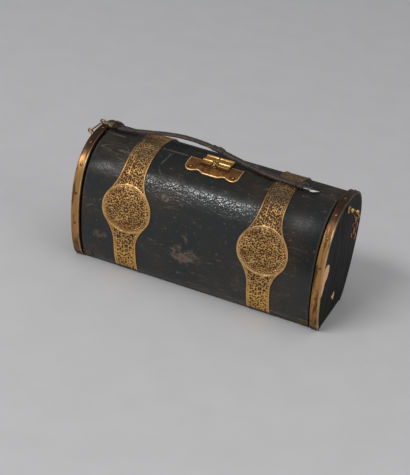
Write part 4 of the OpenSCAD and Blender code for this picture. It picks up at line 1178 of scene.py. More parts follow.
def makeTornEnd(look):
    # The leather twists, swells and thins out past the last sound place
    x = np.linspace(look["end"] - 2.5, look["end"] + 10.0, 90)[:, None]
    run = (x - look["end"]) / 10
    across, lift = roundedSection(56, 1.0, 1.0, 3.0)
    across, lift = across[None, :], lift[None, :]
    swell = 1 + 0.30 * hump(x, look["end"] + 3.2, 2.6)
    thin = ease(run, 0.5, 1.0)
    width = look["halfWidth"] * swell * (1 - 0.75 * thin)
    thick = look["half"] * swell * (1 - 0.6 * thin) * 1.05
    rough = 1 + 0.42 * (softNoise(x, 7 + 2.4 * np.arctan2(lift, across), 1.7, 81) - 0.45)
    twist = 0.55 * ease(run, 0.1, 1.0)
    u, v = across * width * rough, lift * thick * rough
    u, v = u * np.cos(twist) - v * np.sin(twist), u * np.sin(twist) + v * np.cos(twist)
    sag = -0.5 * ease(run, 0.1, 1.0)
    rings = alongHandle(x, u - 0.4 * ease(run, 0.2, 1), v + sag, look)
    worn = ease(softNoise(x, across * 2, 2.2, 82), 0.55, 0.75)
    leatherRings("tornEnd", rings, tornLeather, 50, worn, 0, "frayed_end")


def shred(name, bends, width, thickness, pale, curl, look):
    # A thin torn strip that follows a few given bends; pale ones show the split inner face
    path = np.array(bends)
    t = np.linspace(0, len(path) - 1, 26)
    line = np.stack([np.interp(t, np.arange(len(path)), path[:, k]) for k in range(3)], -1)
    for _ in range(3):
        line[1:-1] = 0.25 * line[:-2] + 0.5 * line[1:-1] + 0.25 * line[2:]
    ahead = np.gradient(line, axis=0)
    ahead = ahead / np.linalg.norm(ahead, axis=1)[:, None]
    side = np.cross(ahead, [0, 0, 1.0])
    side = side / np.linalg.norm(side, axis=1)[:, None]
    above = np.cross(side, ahead)
    share = np.linspace(0, 1, 26)[:, None]
    taper = (0.55 + 0.45 * np.sin(np.pi * share**0.7)) * (1 - 0.8 * share**3)
    roll = curl * share
    a, b = np.array(roundedSection(14, 1, 1, 2.6))
    u, v = width * a * taper, thickness * b * (0.5 + 0.5 * taper)
    u, v = u * np.cos(roll) - v * np.sin(roll), u * np.sin(roll) + v * np.cos(roll)
    rings = line[:, None] + u[..., None] * side[:, None] + v[..., None] * above[:, None]
    leatherRings(name, skewed(rings, look)[:, ::-1] * mm, tornLeather, 50, 0.4, pale)


shreds = {
    # bends, half width, half thickness, how pale and how far it curls over
    "paleShredA": (
        [(73.0, -1.6, 110.3), (75.0, -2.2, 110.9), (77.2, -1.7, 110.6), (79.0, -0.9, 110.2)], 0.85,
        0.3, 0.9, 0.8,
    ),
    "paleShredB": (
        [(78.3, -1.8, 110.1), (80.6, -2.5, 110.5), (82.6, -1.6, 110.5), (85.6, 0.4, 110.4)], 1.0,
        0.28, 1.0, -1.2,
    ),
    "darkCurl": (
        [(70.5, 1.2, 112.0), (72.5, 2.8, 113.0), (74.6, 2.6, 112.9), (75.8, 0.9, 111.6)], 0.9, 0.4,
        0.08, 1.6,
    ),
}


def makeShreds(look):
    # Two pale shreds lie past the end, and short dark fibres stand round them
    for name, (bends, width, thickness, pale, curl) in shreds.items():
        shred(name, bends, width, thickness, pale, curl, look)
    rng = np.random.RandomState(5)
    for k in range(9):
        y = -1.8 + 3.4 * rng.rand()
        x0, reach, drop = 74.0 + 2 * rng.rand(), 3.0 + 4.5 * rng.rand(), 0.9 * rng.rand()
        z0 = 110.6 + 0.5 * rng.rand()
        bends = [
            (x0, y, z0),
            (x0 + reach * 0.5, y + 0.8 * (rng.rand() - 0.5), z0 + 0.5 * (rng.rand() - 0.3)),
            (x0 + reach, y + 2.2 * (rng.rand() - 0.5), max(z0 - drop, 110.1)),
        ]
        shred(f"fibre{k}", bends, 0.22, 0.16, 0.25 if k % 3 == 0 else 0.02, 0.0, look)


def makeClip(look):
    # Cast sleeve: ribs and hollows alternate along it and a leaf tip laps onto the leather
    x = np.linspace(look["turnAt"], look["turnAt"] + 9.2, 84)[:, None]
    run = x - look["turnAt"]
    across, lift = roundedSection(48, 1.0, 1.0, 3.2)
    across, lift = across[None, :], lift[None, :]
    rib = hump(run, 0.9, 0.55) + 0.8 * hump(run, 2.9, 0.4) + 0.9 * hump(run, 6.2, 0.6)
    turn = np.arctan2(lift, across)
    flute = 0.10 * np.cos(8 * turn) * ease(run, 3.2, 4.0) * fade(run, 5.2, 5.8)
    leaf = 1 - 0.16 * ease(run, 6.8, 9.2) - 0.10 * ease(run, 7.4, 9.2) * np.abs(np.cos(1.5 * turn))
    closing = 0.55 + 0.45 * ease(run, 0, 0.7)
    size = (1 + 0.17 * rib + flute) * leaf * closing
    width, thick = 2.85 * size, 1.62 * size
    grime = np.clip(1 - 1.3 * rib, 0, 1) * 0.75 + 0.3 * (flute < 0) + 0.85 * ease(run, 2.4, 4.2)
    rings = alongHandle(x, across * width, lift * thick + 0.45, look)
    grime = np.clip(grime + 0 * across, 0, 1)[:, ::-1]
    ringPiece(
        "castClip", rings, clipBrass, "handle", "polished_gilt", smooth=50, grime=grime,
        node="handle_clip",
    )
    # the arm: a flattened, beaded bar between the sleeve and its ring
    run = np.linspace(0, 1, 44)[:, None]
    beads = hump(run, 0.18, 0.08) + hump(run, 0.5, 0.10) + hump(run, 0.85, 0.10)
    width = 1.25 + 0.75 * ease(run, 0.0, 0.4) + 0.5 * beads
    thick = 0.8 + 0.4 * beads
    across, lift = roundedSection(32, 1.0, 1.0, 2.4)
    rings = np.stack([-107.2 + 6.2 * run + 0 * across, width * across, 112.4 + thick * lift], -1) * mm
    grime = np.clip(1 - 1.2 * beads, 0, 1) * 0.9 + 0 * across
    ringPiece("clipArm", rings[:, ::-1], clipBrass, "handle", "polished_gilt", smooth=50, grime=grime)


makeHandleStrap(handleLook)
makeKeeper("leftKeeper", -3.5, 91, "handle_keepers", handleLook)
makeKeeper("rightKeeper", 29.0, 95, None, handleLook)
makeTornEnd(handleLook)
makeShreds(handleLook)
makeClip(handleLook)
print("handle made")


# Studs, eyes and links
chainLook = {
    "wire": 0.55,
    "linkWire": 0.68,
    "bend": 1.6,
    "straight": 2.6,
    "pitch": 4.65,
    "x": 116.8,
    "top": 94.85,
    "eye": 1.9,
    "eyeDrop": 3.4,
    "studFace": 109.9,
    "studHeight": 99.0,
    "leftEye": (-119.204, 0, 101.404),
    "leftPivot": (-118.690, 0, 101.950),
    "clipEye": (-108.6, 0, 112.65),
    "clipPivot": (-109.1145, 0, 112.1043),
}


def sweep(line, radius, sides=14, closed=True, up=(0, 1, 0)):
    # A tube round a line in one plane, whose normal is up
    ahead = np.roll(line, -1, 0) - np.roll(line, 1, 0) if closed else np.gradient(line, axis=0)
    ahead = ahead / np.linalg.norm(ahead, axis=1)[:, None]
    up = np.asarray(up, float)
    side = np.cross(ahead, up)
    angle = roundAngles(sides)
    radius = np.broadcast_to(np.asarray(radius, float), (len(line),))[:, None]
    u, v = radius * np.cos(angle), radius * np.sin(angle)
    return line[:, None] + u[..., None] * side[:, None] + v[..., None] * up


def linkLine(straight, bend, steps=14):
    # A stadium in the plane of the first two axes, with its upper bend's wire at the origin
    arc = np.linspace(0, np.pi, steps)
    upper = np.stack([bend * np.cos(arc), -bend + bend * np.sin(arc)], -1)
    lower = np.stack([-bend * np.cos(arc), -bend - straight - bend * np.sin(arc)], -1)
    return np.concatenate([upper, lower])


def makeLink(name, node, body, origin, lean, across, straight, look):
    # across: the link lies in the X-Z plane, or square to it; lean turns it about Y
    flat = linkLine(straight, look["bend"])
    away = flat[:, 1] + look["bend"] + straight / 2
    joint = 1 + 0.14 * hump(away, 0, 0.5) * (flat[:, 0] > 0)
    side, normal = np.array([[1.0, 0, 0], [0, 1.0, 0]])[:: 1 if across else -1]
    line = flat[:, :1] * side + flat[:, 1:] * np.array([0, 0, 1.0])
    c, s = math.cos(math.radians(lean)), math.sin(math.radians(lean))
    turn = np.array([[c, 0, s], [0, 1, 0], [-s, 0, c]])
    rings = sweep(line, look["linkWire"] * joint, up=normal) @ turn.T + np.asarray(origin)
    rings = rings[:, ::-1] if across else rings
    bends = ease(np.abs(away), straight / 2 + 0.5, straight / 2 + 1.6)[:, None]
    grime = 0.15 + 0.5 * bends + 0 * rings[..., 0]
    ringPiece(
        name, rings * mm, chainBrass, body, "chain_brass", capped=False, smooth=60, grime=grime, node=node,
    )


def makeEye(name, centre, wire, material, body, look):
    # A ring of wire in the X-Z plane
    angle = roundAngles(40)
    line = look["eye"] * np.stack([np.cos(angle), 0 * angle, np.sin(angle)], -1)
    rings = sweep(line + np.asarray(centre), wire(line[:, 0]))[:, ::-1]
    grime = 0.3 + 0 * rings[..., 0]
    ringPiece(name, rings * mm, material, body, "polished_gilt", capped=False, smooth=60, grime=grime)


def lathe(profile, start, way, sides=40):
    # Rings of a profile (distance along, radius) about an axis along X
    angle = roundAngles(sides)
    along, radius = profile[:, 0], profile[:, 1]
    rings = np.stack([
        start[0] + way * along[:, None] + 0 * angle,
        start[1] + radius[:, None] * np.cos(angle),
        start[2] + radius[:, None] * np.sin(angle),
    ], -1)
    return rings if way > 0 else rings[::-1]


def studProfile():
    # Rose with a beaded rim, a ball, a collar, and a second smaller ball at the tip
    ball = np.radians(np.linspace(200, 20, 15))
    tip = np.radians(np.linspace(205, 0, 18))
    parts = [
        np.array([[-0.5, 3.2], [0.0, 3.2], [0.35, 3.15], [0.55, 2.85], [0.5, 2.5], [0.8, 2.2], [0.8, 1.6]]),
        np.stack([2.5 + 2.1 * np.cos(ball), 2.1 * np.maximum(np.sin(ball), 0.35)], -1)[1:],
        np.array([[4.75, 0.95], [4.95, 1.25], [5.15, 1.25], [5.3, 0.95]]),
        np.stack([6.9 + 1.9 * np.cos(tip), 1.9 * np.maximum(np.sin(tip), 0.02)], -1)[2:],
    ]
    return np.concatenate(parts)


def makeStud(side, word, eyePlace, look):
    profile = studProfile()
    rings = lathe(profile, (side * look["studFace"], 0, look["studHeight"]), side)[:, ::-1] * mm
    grime = ease(-profile[:, 1], -1.35, -0.9)[::side, None] * 0.8 + 0 * rings[..., 0]
    node = f"{word}_stud"
    ringPiece(f"{word}Stud", rings, studGilt, "carcass", "polished_gilt", smooth=40, grime=grime, node=node)
    makeEye(f"{word}StudEye", eyePlace, lambda x: 1.2 * look["wire"], studGilt, "carcass", look)


def makeChain(look):
    # Every other link is turned a quarter, and each hangs a pitch under the one above
    for number in range(1, 5):
        top = (look["x"], 0, look["top"] - look["pitch"] * (number - 1))
        turned = number % 2 == 0
        node = f"chain_link_{number}"
        makeLink(f"chainLoop{number}", node, f"link_{number}", top, 0, turned, look["straight"], look)


def makeClipLink(look):
    # Leans from the left stud's eye to the clip's ring, whose wire is thicker beside the arm
    (x0, _, z0), (x1, _, z1) = look["leftPivot"], look["clipPivot"]
    span, lean = math.hypot(x1 - x0, z1 - z0), math.degrees(math.atan2(z1 - z0, x1 - x0))
    straight = span - 2 * look["bend"]
    makeLink("clipLink", "left_link", "hook_link", look["clipPivot"], 90 - lean, False, straight, look)
    makeEye(
        "clipRing", look["clipEye"], lambda x: look["wire"] * (1.15 + 0.5 * ease(x, 0.2, 1.4)),
        clipBrass, "handle", look,
    )


makeStud(1, "right", (chainLook["x"], 0, chainLook["studHeight"] - chainLook["eyeDrop"]), chainLook)
makeStud(-1, "left", chainLook["leftEye"], chainLook)
makeChain(chainLook)
makeClipLink(chainLook)
print("chains made")


# End leather, wood, nails and hinges
endLook = {
    "face": 109.9,
    "back": 109.3,
    "inset": 2.2,
    "middle": 55.0,
    "round": 0.35,
    "rings": 70,
    "points": 260,
    "chips": [
        # y, z, half width, half height, strength
        (-37, 57, 7.5, 8.0, 1.5), (-40, 48, 4.5, 9.0, 1.5), (0.5, 18.6, 2.2, 3.6, 1.3),
        (-3.5, 20, 2.0, 1.2, 0.9),
    ],
    # the hide colours are darker than the box's black leather: painted shade on the end faces
    "hide": (0.0045, 0.005, 0.0042),
    "hideBrown": (0.009, 0.008, 0.0062),
    "crease": (0.024, 0.018, 0.013),
    "bare": (0.95, 0.52, 0.28),
}


def makeEndLeather(look):
    # Waxed leather darkened as painted shade, with fine upright creases, bare and pinkish where it is
    # chipped
    material, tree, place, shader = startMaterial("endBoardLeather")
    lay = drawnOut(tree, place, (1, 1, 0.18))
    creases = noise(tree, lay, 240, 6, 0.6)
    slow = noise(tree, place, 28, 3)
    colour = mixed(tree, spread(tree, slow, 0.4, 0.7), look["hide"], look["hideBrown"])
    colour = mixed(tree, spread(tree, creases, 0.5, 0.75, 0, 0.5), colour, look["crease"])
    edge = times(tree, minus(tree, noise(tree, place, 420, 6, 0.7), 0.5), 1.6)
    chip = spread(tree, plus(tree, attribute(tree, "chip"), edge), 0.42, 0.56)
    colour = mixed(tree, chip, colour, look["bare"])
    depth = minus(tree, times(tree, creases, 0.8), chip)
    rough = spread(tree, creases, 0.3, 0.7, 0.50, 0.68)
    dress(tree, shader, colour, rough, depth, 0.6, 0.3 * mm, specular=0.09)
    return material


def makeWood(name, light, deep):
    # Close-grained stained wood: the grain runs along the box
    material, tree, place, shader = startMaterial(name)
    lay = drawnOut(tree, place, (0.05, 1, 1))
    grain = noise(tree, lay, 260, 5, 0.6, 0.6)
    pores = noise(tree, lay, 900, 3)
    colour = mixed(tree, spread(tree, grain, 0.35, 0.7), light, deep)
    colour = mixed(tree, spread(tree, pores, 0.6, 0.75, 0, 0.6), colour, [0.4 * c for c in deep])
    rough = spread(tree, grain, 0.3, 0.7, 0.5, 0.68)
    dress(tree, shader, colour, rough, pores, 0.3, 0.15 * mm, specular=0.35)
    return material


endHide = makeEndLeather(endLook)
boxWood = makeWood("boxWood", (0.060, 0.030, 0.016), (0.026, 0.013, 0.008))
# pale grey-brown, laid on the base and on the cover board
baseHide = makeWood("paleGreyBaseLeather", (0.115, 0.105, 0.10), (0.045, 0.038, 0.034))


def endFace(side, word, look):
    # Concentric rings: the back edge, the rounded front edge, then shrinking in to the middle
    station = stationOf(np.linspace(0, arcOf(360), look["points"]))
    edge = wrapPoint(0, station, look["inset"])[:, 1:] / mm
    edge = np.concatenate([edge, np.linspace(edge[-1], edge[0], 64)[1:-1]])
    heart = np.array([0, look["middle"]])
    share = 1 - np.linspace(0.02, 0.985, look["rings"]) ** 0.9
    steps = [(0.0, look["back"]), (0.05, look["face"] - 0.25), (0.25, look["face"] - 0.04)]
    rings = []
    for away, x in steps:
        length = np.linalg.norm(edge - heart, axis=1)[:, None]
        rings.append((heart + (edge - heart) * (1 - away / length), x))
    rings += [(heart + (edge - heart) * s, look["face"]) for s in share]
    flat = np.array([ring for ring, x in rings])
    x = np.array([x for ring, x in rings])[:, None] + 0 * flat[..., 0]
    x = x - 0.22 * softNoise(flat[..., 0], flat[..., 1], 9, 51) * (x > look["face"] - 0.01)
    chip = np.zeros(x.shape)
    for y, z, halfY, halfZ, strength in look["chips"]:
        away = np.hypot((flat[..., 0] - y) / halfY, (flat[..., 1] - z) / halfZ)
        chip = np.maximum(chip, strength * fade(away, 0.6, 1.4))
    inward = np.linalg.norm(flat - edge, axis=-1)
    thin = fade(inward, 0.5, 1.9) * (flat[..., 0] < 0) * (flat[..., 1] < 62) * ease(flat[..., 1], 2.4, 4)
    chip = np.maximum(chip, thin) if side > 0 else 0.6 * thin
    points = np.stack([side * x, flat[..., 0], flat[..., 1]], -1)[:, ::side] * mm
    node = f"{word}_end_leather"
    ringPiece(
        f"{word}EndHide", points, endHide, "carcass", "end_leather", smooth=50,
        chip=chip[:, ::side], node=node,
    )


def makeTacks():
    # Small domes, each square to the band where it is driven in
    turns = np.array([34, 64, 95, 123, 151, 177, 209, 237, 265, 296, 326])
    profile = np.array([[1.3, -0.3], [1.3, 0.06], [1.16, 0.27], [0.9, 0.42], [0.5, 0.54], [0.06, 0.6]])
    angle = roundAngles(18)
    points, faces = [], []
    for side in (-1, 1):
        here = wrapPoint(side * 106.45, turns, 0.2) / mm
        ahead = wrapPoint(side * 106.45, turns + 0.5, 0.2) / mm - here
        ahead = ahead / np.linalg.norm(ahead, axis=1)[:, None]
        out = np.cross(ahead, [1.0, 0, 0])
        out = out * np.sign(np.sum(out * (here - [side * 106.45, 0, 52]), axis=1))[:, None]
        for k in range(len(turns)):
            ring = np.cos(angle)[:, None] * np.array([1.0, 0, 0])
            ring = ring + np.sin(angle)[:, None] * np.cross(out[k], [1.0, 0, 0])
            rings = here[k] + profile[:, :1, None] * ring + profile[:, 1:, None] * out[k]
            start = sum(len(p) for p in points)
            points.append(rings.reshape(-1, 3))
            faces.append(gridFaces(len(profile), len(angle), closedColumns=True, start=start))
    count = len(angle)
    ends = [list(range(k * count * 6, k * count * 6 + count))[::-1] for k in range(len(points))]
    ends += [list(range(k * count * 6 + count * 5, (k + 1) * count * 6)) for k in range(len(points))]
    newPiece(
        "bandTacks", np.concatenate(points) * mm, np.concatenate(faces), tackBrass, "carcass",
        "gilt_nails", caps=ends, smooth=60, node="band_nails",
    )


endFace(-1, "left", endLook)
endFace(1, "right", endLook)
makeTacks()
print("ends made")


# Fitted inside: silk, velvet, glass, ivory and horn
def makeSilk(name, deep, faded, shine=0.35):
    # Ribbed silk: fine cross ribs, watered patches, paler where it has faded, and painted shade along the
    # quilting's stitch lines
    material, tree, place, shader = startMaterial(name)
    lay = drawnOut(tree, place, (0.08, 1, 1))
    ribs = noise(tree, lay, 1500, 2, 0.5)
    water = noise(tree, drawnOut(tree, place, (0.35, 1, 1)), 75, 4, 0.6, 2.2)
    colour = mixed(tree, spread(tree, noise(tree, place, 14, 3), 0.35, 0.75), deep, faded)
    colour = mixed(tree, spread(tree, water, 0.42, 0.62, 0, 0.45), colour, [1.35 * c for c in faded])
    colour = mixed(tree, attribute(tree, "fold"), colour, [0.35 * c for c in deep])
    dress(
        tree, shader, colour, spread(tree, water, 0.3, 0.7, shine, shine + 0.2), ribs, 0.35, 0.12 * mm,
        sheen=0.25, sheenRough=0.35, sheenTint=(0.9, 0.3, 0.3, 1),
    )
    return material


def makeVelvet(name, deep, rubbed):
    material, tree, place, shader = startMaterial(name)
    pile = noise(tree, place, 1300, 4, 0.6)
    slow = noise(tree, place, 40, 4, 0.6)
    colour = mixed(tree, spread(tree, slow, 0.4, 0.7), deep, rubbed)
    dress(
        tree, shader, colour, 0.85, pile, 0.6, 0.3 * mm,
        sheen=0.6, sheenRough=0.3, sheenTint=(0.75, 0.16, 0.2, 1), specular=0.2,
    )
    return material


def makeGlass(name, tint, rough):
    # Old hand-cut glass, faintly tinted, with a slight ripple
    material, tree, place, shader = startMaterial(name)
    ripple = noise(tree, place, 60, 3)
    colour = mixed(tree, spread(tree, noise(tree, place, 30, 2), 0.3, 0.7), tint, [0.94 * c for c in tint])
    roughness = spread(tree, ripple, 0.3, 0.7, rough, rough + 0.05)
    dress(tree, shader, colour, roughness, ripple, 0.15, 0.3 * mm, clear=1.0, ior=1.5)
    return material


def makeSilvering():
    # A mirror whose silver has foxed towards its edges
    material, tree, place, shader = startMaterial("lookingGlass")
    spots = noise(tree, place, 130, 6, 0.7)
    rust = times(tree, spread(tree, spots, 0.52, 0.66), attribute(tree, "foxed"))
    colour = mixed(tree, rust, (0.80, 0.82, 0.80), (0.16, 0.12, 0.08))
    rough = spread(tree, rust, 0, 1, 0.04, 0.5)
    dress(tree, shader, colour, rough, spots, 0.05, 0.1 * mm, metallic=minus(tree, 1.0, rust))
    return material


def makeIvory():
    material, tree, place, shader = startMaterial("turnedIvory")
    lay = drawnOut(tree, place, (1, 1, 0.15))
    grain = noise(tree, lay, 190, 5, 0.6, 0.8)
    colour = mixed(tree, spread(tree, grain, 0.35, 0.7), (0.72, 0.62, 0.44), (0.60, 0.48, 0.30))
    # painted shade in the turned grooves
    colour = mixed(tree, attribute(tree, "fold"), colour, (0.20, 0.13, 0.07))
    dress(tree, shader, colour, spread(tree, grain, 0.3, 0.7, 0.3, 0.42), grain, 0.15, 0.1 * mm, coat=0.2)
    return material


def makeHorn():
    # Streaked horn, from honey to dark brown along its length
    material, tree, place, shader = startMaterial("combHorn")
    lay = drawnOut(tree, place, (0.25, 1, 1))
    streaks = noise(tree, lay, 85, 5, 0.6, 1.4)
    colour = mixed(tree, spread(tree, streaks, 0.4, 0.62), (0.42, 0.22, 0.075), (0.085, 0.035, 0.014))
    rough = spread(tree, streaks, 0.3, 0.7, 0.22, 0.34)
    dress(tree, shader, colour, rough, streaks, 0.1, 0.1 * mm, coat=0.4, coatRough=0.15)
    return material


redSilk = makeSilk("redSilk", (0.21, 0.018, 0.026), (0.30, 0.045, 0.045))
redVelvet = makeVelvet("redVelvet", (0.12, 0.007, 0.014), (0.20, 0.022, 0.026))
bottleGlass = makeGlass("bottleGlass", (0.86, 0.93, 0.90), 0.02)
stopperGlass = makeGlass("stopperGlass", (0.95, 0.97, 0.96), 0.0)
silvering = makeSilvering()
turnedIvory = makeIvory()
combHorn = makeHorn()

quiltLook = {"inset": 8.4, "outer": 7.05, "across": 22.5, "up": 17.0, "columns": 230, "rows": 124}


def quiltedLining(name, node, body, halfLength, arcLow, arcHigh, look, depth):
    # Diamond quilting: the silk swells between stitch lines that cross, and dips at each button
    x = np.linspace(-halfLength, halfLength, look["columns"])[None, :]
    arc = np.linspace(arcLow, arcHigh, look["rows"])[:, None]
    middle = 0.5 * (arcLow + arcHigh)
    a = x / look["across"] + (arc - middle) / look["up"]
    b = x / look["across"] - (arc - middle) / look["up"]
    ridge = np.minimum(np.abs((a + 0.5) % 1 - 0.5), np.abs((b + 0.5) % 1 - 0.5)) * 2
    swell = np.sin(np.pi / 2 * np.clip(ridge, 0, 1)) ** 0.55
    crossing = np.hypot((a + 0.5) % 1 - 0.5, (b + 0.5) % 1 - 0.5)
    swell = swell * ease(crossing, 0.0, 0.22)
    pucker = 0.22 * (softNoise(a * 9, b * 9, 1.0, 141) - 0.5) * fade(ridge, 0.1, 0.6)
    border = np.minimum(np.minimum(halfLength - np.abs(x), arc - arcLow), arcHigh - arc)
    cording = hump(border, 1.1, 0.7)
    height = np.clip(depth * (swell + pucker) * ease(border, 1.5, 4.0), 0, None) + 0.45 * cording
    inset = look["inset"] - depth + height
    inner = wrapPoint(x, stationOf(arc), np.maximum(inset, look["outer"] + 0.15))
    outer = wrapPoint(x, stationOf(arc), look["outer"])
    # the stitch lines are darkened as painted shade
    fold = np.clip(fade(ridge, 0.0, 0.13), 0, 1) * 0.55 * ease(border, 2, 3)
    piece = newPiece(
        name, stacked(inner, outer), slabFaces(look["rows"], look["columns"]),
        redSilk, body, "red_silk", smooth=60,
        fold=outerOnly(fold),
        node=node,
    )


def squareRing(half, chamfer, z, count=48):
    # A square with cut corners, its points spread evenly by angle
    angle = roundAngles(count) + np.pi / count
    c, s = np.cos(angle), np.sin(angle)
    cut = (2 * half - chamfer) / (np.abs(c) + np.abs(s))
    reach = np.minimum(half / np.maximum(np.abs(c), np.abs(s)), cut)
    return np.stack([reach * c, reach * s, z + 0 * c], -1)


bottleLook = {"first": -84.0, "pitch": 28.0, "y": -3.0}


def makeBottle(number, look):
    # Square cut body, sloped shoulder, round neck and lip, then the bore back down inside
    flat = [
        (0.3, 0, 12.0), (11.2, 2.4, 12.0), (12.0, 3.0, 12.8), (12.0, 3.0, 15), (11.7, 3.0, 15.4),
        (11.7, 3.2, 43),
    ]
    flat += [(12.0, 3.4, 43.5), (12.0, 3.4, 45.0), (10.2, 3.0, 47.6), (7.4, 2.6, 49.4)]
    rings = [squareRing(half, chamfer, z) for half, chamfer, z in flat]
    angle = roundAngles(48) + np.pi / 48
    necks = [
        (5.4, 50.0), (4.9, 50.6), (4.9, 52.2), (5.9, 52.8), (6.0, 53.5), (5.6, 54.0), (4.3, 54.0),
        (3.6, 53.6), (3.4, 49.6),
    ]
    rings += [circleRings(r, z, angle) for r, z in necks]
    bore = [(7.0, 2.4, 47.4), (9.6, 2.6, 44.5), (9.8, 2.6, 16.5), (0.3, 0, 15.2)]
    rings += [squareRing(half, chamfer, z) for half, chamfer, z in bore]
    rings = np.array(rings) + [look["first"] + look["pitch"] * (number - 1), look["y"], 0]
    ringPiece(
        f"cutBottle{number}", rings * mm, bottleGlass, f"scent_bottle_{number}", "clear_glass",
        smooth=20, node=f"bottle_{number}",
    )


def makeStopper(number, look):
    # Ground plug, round collar and a faceted knob
    x = look["first"] + look["pitch"] * (number - 1)
    plug = [[0.2, 50.5], [2.7, 50.5], [2.9, 54.2], [4.2, 54.3], [5.0, 54.8], [3.4, 55.3]]
    low = turned(plug, (x, look["y"]), 48)
    facets = []
    knob = [
        (3.2, 55.6, 0), (5.4, 57.4, 0.5), (6.0, 58.9, 0), (5.6, 60.4, 0.5), (3.8, 62.0, 0),
        (1.6, 63.0, 0.5),
    ]
    for radius, z, turn in knob:
        # eight flats: the distance to the edge grows again towards each corner
        angle = roundAngles(48)
        part = (angle / (np.pi / 4) + turn) % 1 * np.pi / 4 - np.pi / 8
        reach = radius * math.cos(math.pi / 8) / np.cos(part)
        facet = [x + reach * np.cos(angle), look["y"] + reach * np.sin(angle), z + 0 * angle]
        facets.append(np.stack(facet, -1))
    rings = np.concatenate([low, np.array(facets)])
    ringPiece(
        f"facetStopper{number}", rings * mm, stopperGlass, f"glass_stopper_{number}", "cut_glass",
        smooth=12, node=f"stopper_{number}",
    )


powderLook = {"centre": (9.0, 2.0), "radius": 19.0, "wall": 1.6}


def makePowderBox(look):
    wall = look["radius"] - look["wall"]
    profile = np.array([
        [0.2, 12.0], [17.2, 12.0], [18.0, 12.3], [19.0, 13.2], [19.0, 14.4], [18.5, 14.8],
        [18.5, 15.4], [18.8, 15.8],
        [18.8, 22.4], [18.5, 22.7], [18.5, 23.1], [18.8, 23.4], [18.8, 31.6], [18.5, 32.0],
        [19.0, 32.6], [19.0, 33.6],
        [18.8, 34.0], [wall + 0.2, 34.0], [wall, 33.8], [wall, 14.6], [wall - 0.8, 13.9], [0.2, 13.8],
    ])
    rings = turned(profile, look["centre"])
    # the turned grooves are darkened as painted shade
    fold = np.isin(np.arange(len(profile)), [5, 6, 9, 10, 13])[:, None] * 0.75 + 0 * rings[..., 0]
    ringPiece(
        "turnedPot", rings * mm, turnedIvory, "powder_pot", "ivory_ware", smooth=35, fold=fold,
        node="powder_box",
    )
    profile = np.array([
        [0.2, 33.9], [15.4, 33.9], [15.5, 31.7], [16.9, 31.7], [17.0, 33.9], [19.0, 34.05],
        [19.6, 34.4], [19.6, 35.4],
        [19.2, 35.7], [18.2, 35.7], [17.9, 36.0], [17.2, 36.35], [14.4, 36.5], [13.8, 36.3],
        [13.2, 36.5], [8.0, 36.6],
        [4.2, 36.65], [3.4, 36.9], [1.5, 37.3], [1.2, 38.0], [1.6, 38.3], [1.3, 38.6], [2.0, 39.2],
        [2.4, 40.2],
        [2.1, 41.4], [1.2, 42.2], [0.5, 42.5], [0.05, 42.6],
    ])
    rings = turned(profile, look["centre"])
    # the turned grooves are darkened as painted shade
    fold = np.isin(np.arange(len(profile)), [9, 10, 13, 19, 21])[:, None] * 0.75 + 0 * rings[..., 0]
    ringPiece(
        "turnedLid", rings * mm, turnedIvory, "pot_lid", "ivory_ware", smooth=35, fold=fold,
        node="powder_lid",
    )


combLook = {
    "left": -98.0, "length": 84.0, "y": 14.0, "half": 1.5,
    "low": 12.0, "high": 42.0, "back": 9.0, "teeth": 25,
}


def makeComb(look):
    # Pointed teeth hang from a back with a bowed top; each is a four-sided bar of several rings
    pitch = look["length"] / (2 * look["teeth"] - 1)
    root = look["high"] - look["back"]
    share = np.array([0.0, 0.04, 0.12, 0.3, 1.0, 1.06])
    width = pitch * np.array([0.18, 0.30, 0.40, 0.47, 0.52, 0.52])
    thick = look["half"] * np.array([0.25, 0.5, 0.7, 0.85, 0.98, 0.98])
    angle = roundAngles(12)
    c, s = np.cos(angle), np.sin(angle)
    reach = 1 / (np.abs(c) ** 5 + np.abs(s) ** 5) ** 0.2
    teeth = np.stack([
        width[:, None] * reach * c, look["y"] + thick[:, None] * reach * s,
        (look["low"] + (root - look["low"]) * share)[:, None] + 0 * c,
    ], -1)
    centres = look["left"] + pitch * (0.5 + 2 * np.arange(look["teeth"]))
    points = teeth[None] + centres[:, None, None, None] * np.array([1.0, 0, 0])
    rows, count = teeth.shape[:2]
    size = rows * count
    faces = [gridFaces(rows, count, closedColumns=True, start=k * size) for k in range(look["teeth"])]
    caps = [list(range(k * size, k * size + count))[::-1] for k in range(look["teeth"])]
    caps += [list(range(k * size + size - count, (k + 1) * size)) for k in range(look["teeth"])]
    # the back is a swept section whose top bows up towards its middle
    x = np.linspace(0, 1, 60)[:, None]
    end = 1 - np.abs(2 * x - 1) ** 14
    angle = roundAngles(24)
    c, s = np.cos(angle), np.sin(angle)
    reach = 1 / (np.abs(c) ** 4 + np.abs(s) ** 4) ** 0.25
    top = look["high"] - 2.6 * (2 * x - 1) ** 2 * (0.4 + 0.6 * end)
    middle, half = 0.5 * (top + root - 0.1), 0.5 * (top - root + 0.1)
    back = np.stack([
        look["left"] + look["length"] * x + 0 * c,
        look["y"] + look["half"] * reach * c * (0.6 + 0.4 * end),
        middle + half * reach * s,
    ], -1)
    start = look["teeth"] * size
    faces.append(gridFaces(60, 24, closedColumns=True, start=start))
    caps += [list(range(start, start + 24))[::-1], list(range(start + 59 * 24, start + 60 * 24))]
    points = np.concatenate([points.reshape(-1, 3), back.reshape(-1, 3)]) * mm
    newPiece(
        "hornComb", points, np.concatenate(faces), combHorn, "hair_comb", "horn", caps=caps,
        smooth=50, node="comb",
    )


mirrorLook = {"width": 84.0, "low": 42.0, "high": 84.0, "frame": 4.0, "inset": 8.4}


def mirrorPoint(look, height):
    # Y of the lining where the mirror's lower or upper edge rests on it
    station = np.linspace(20, 170, 3001)
    out, rise = sideCurve(station, look["inset"])
    return np.array([-np.interp(height, rise, out), height])


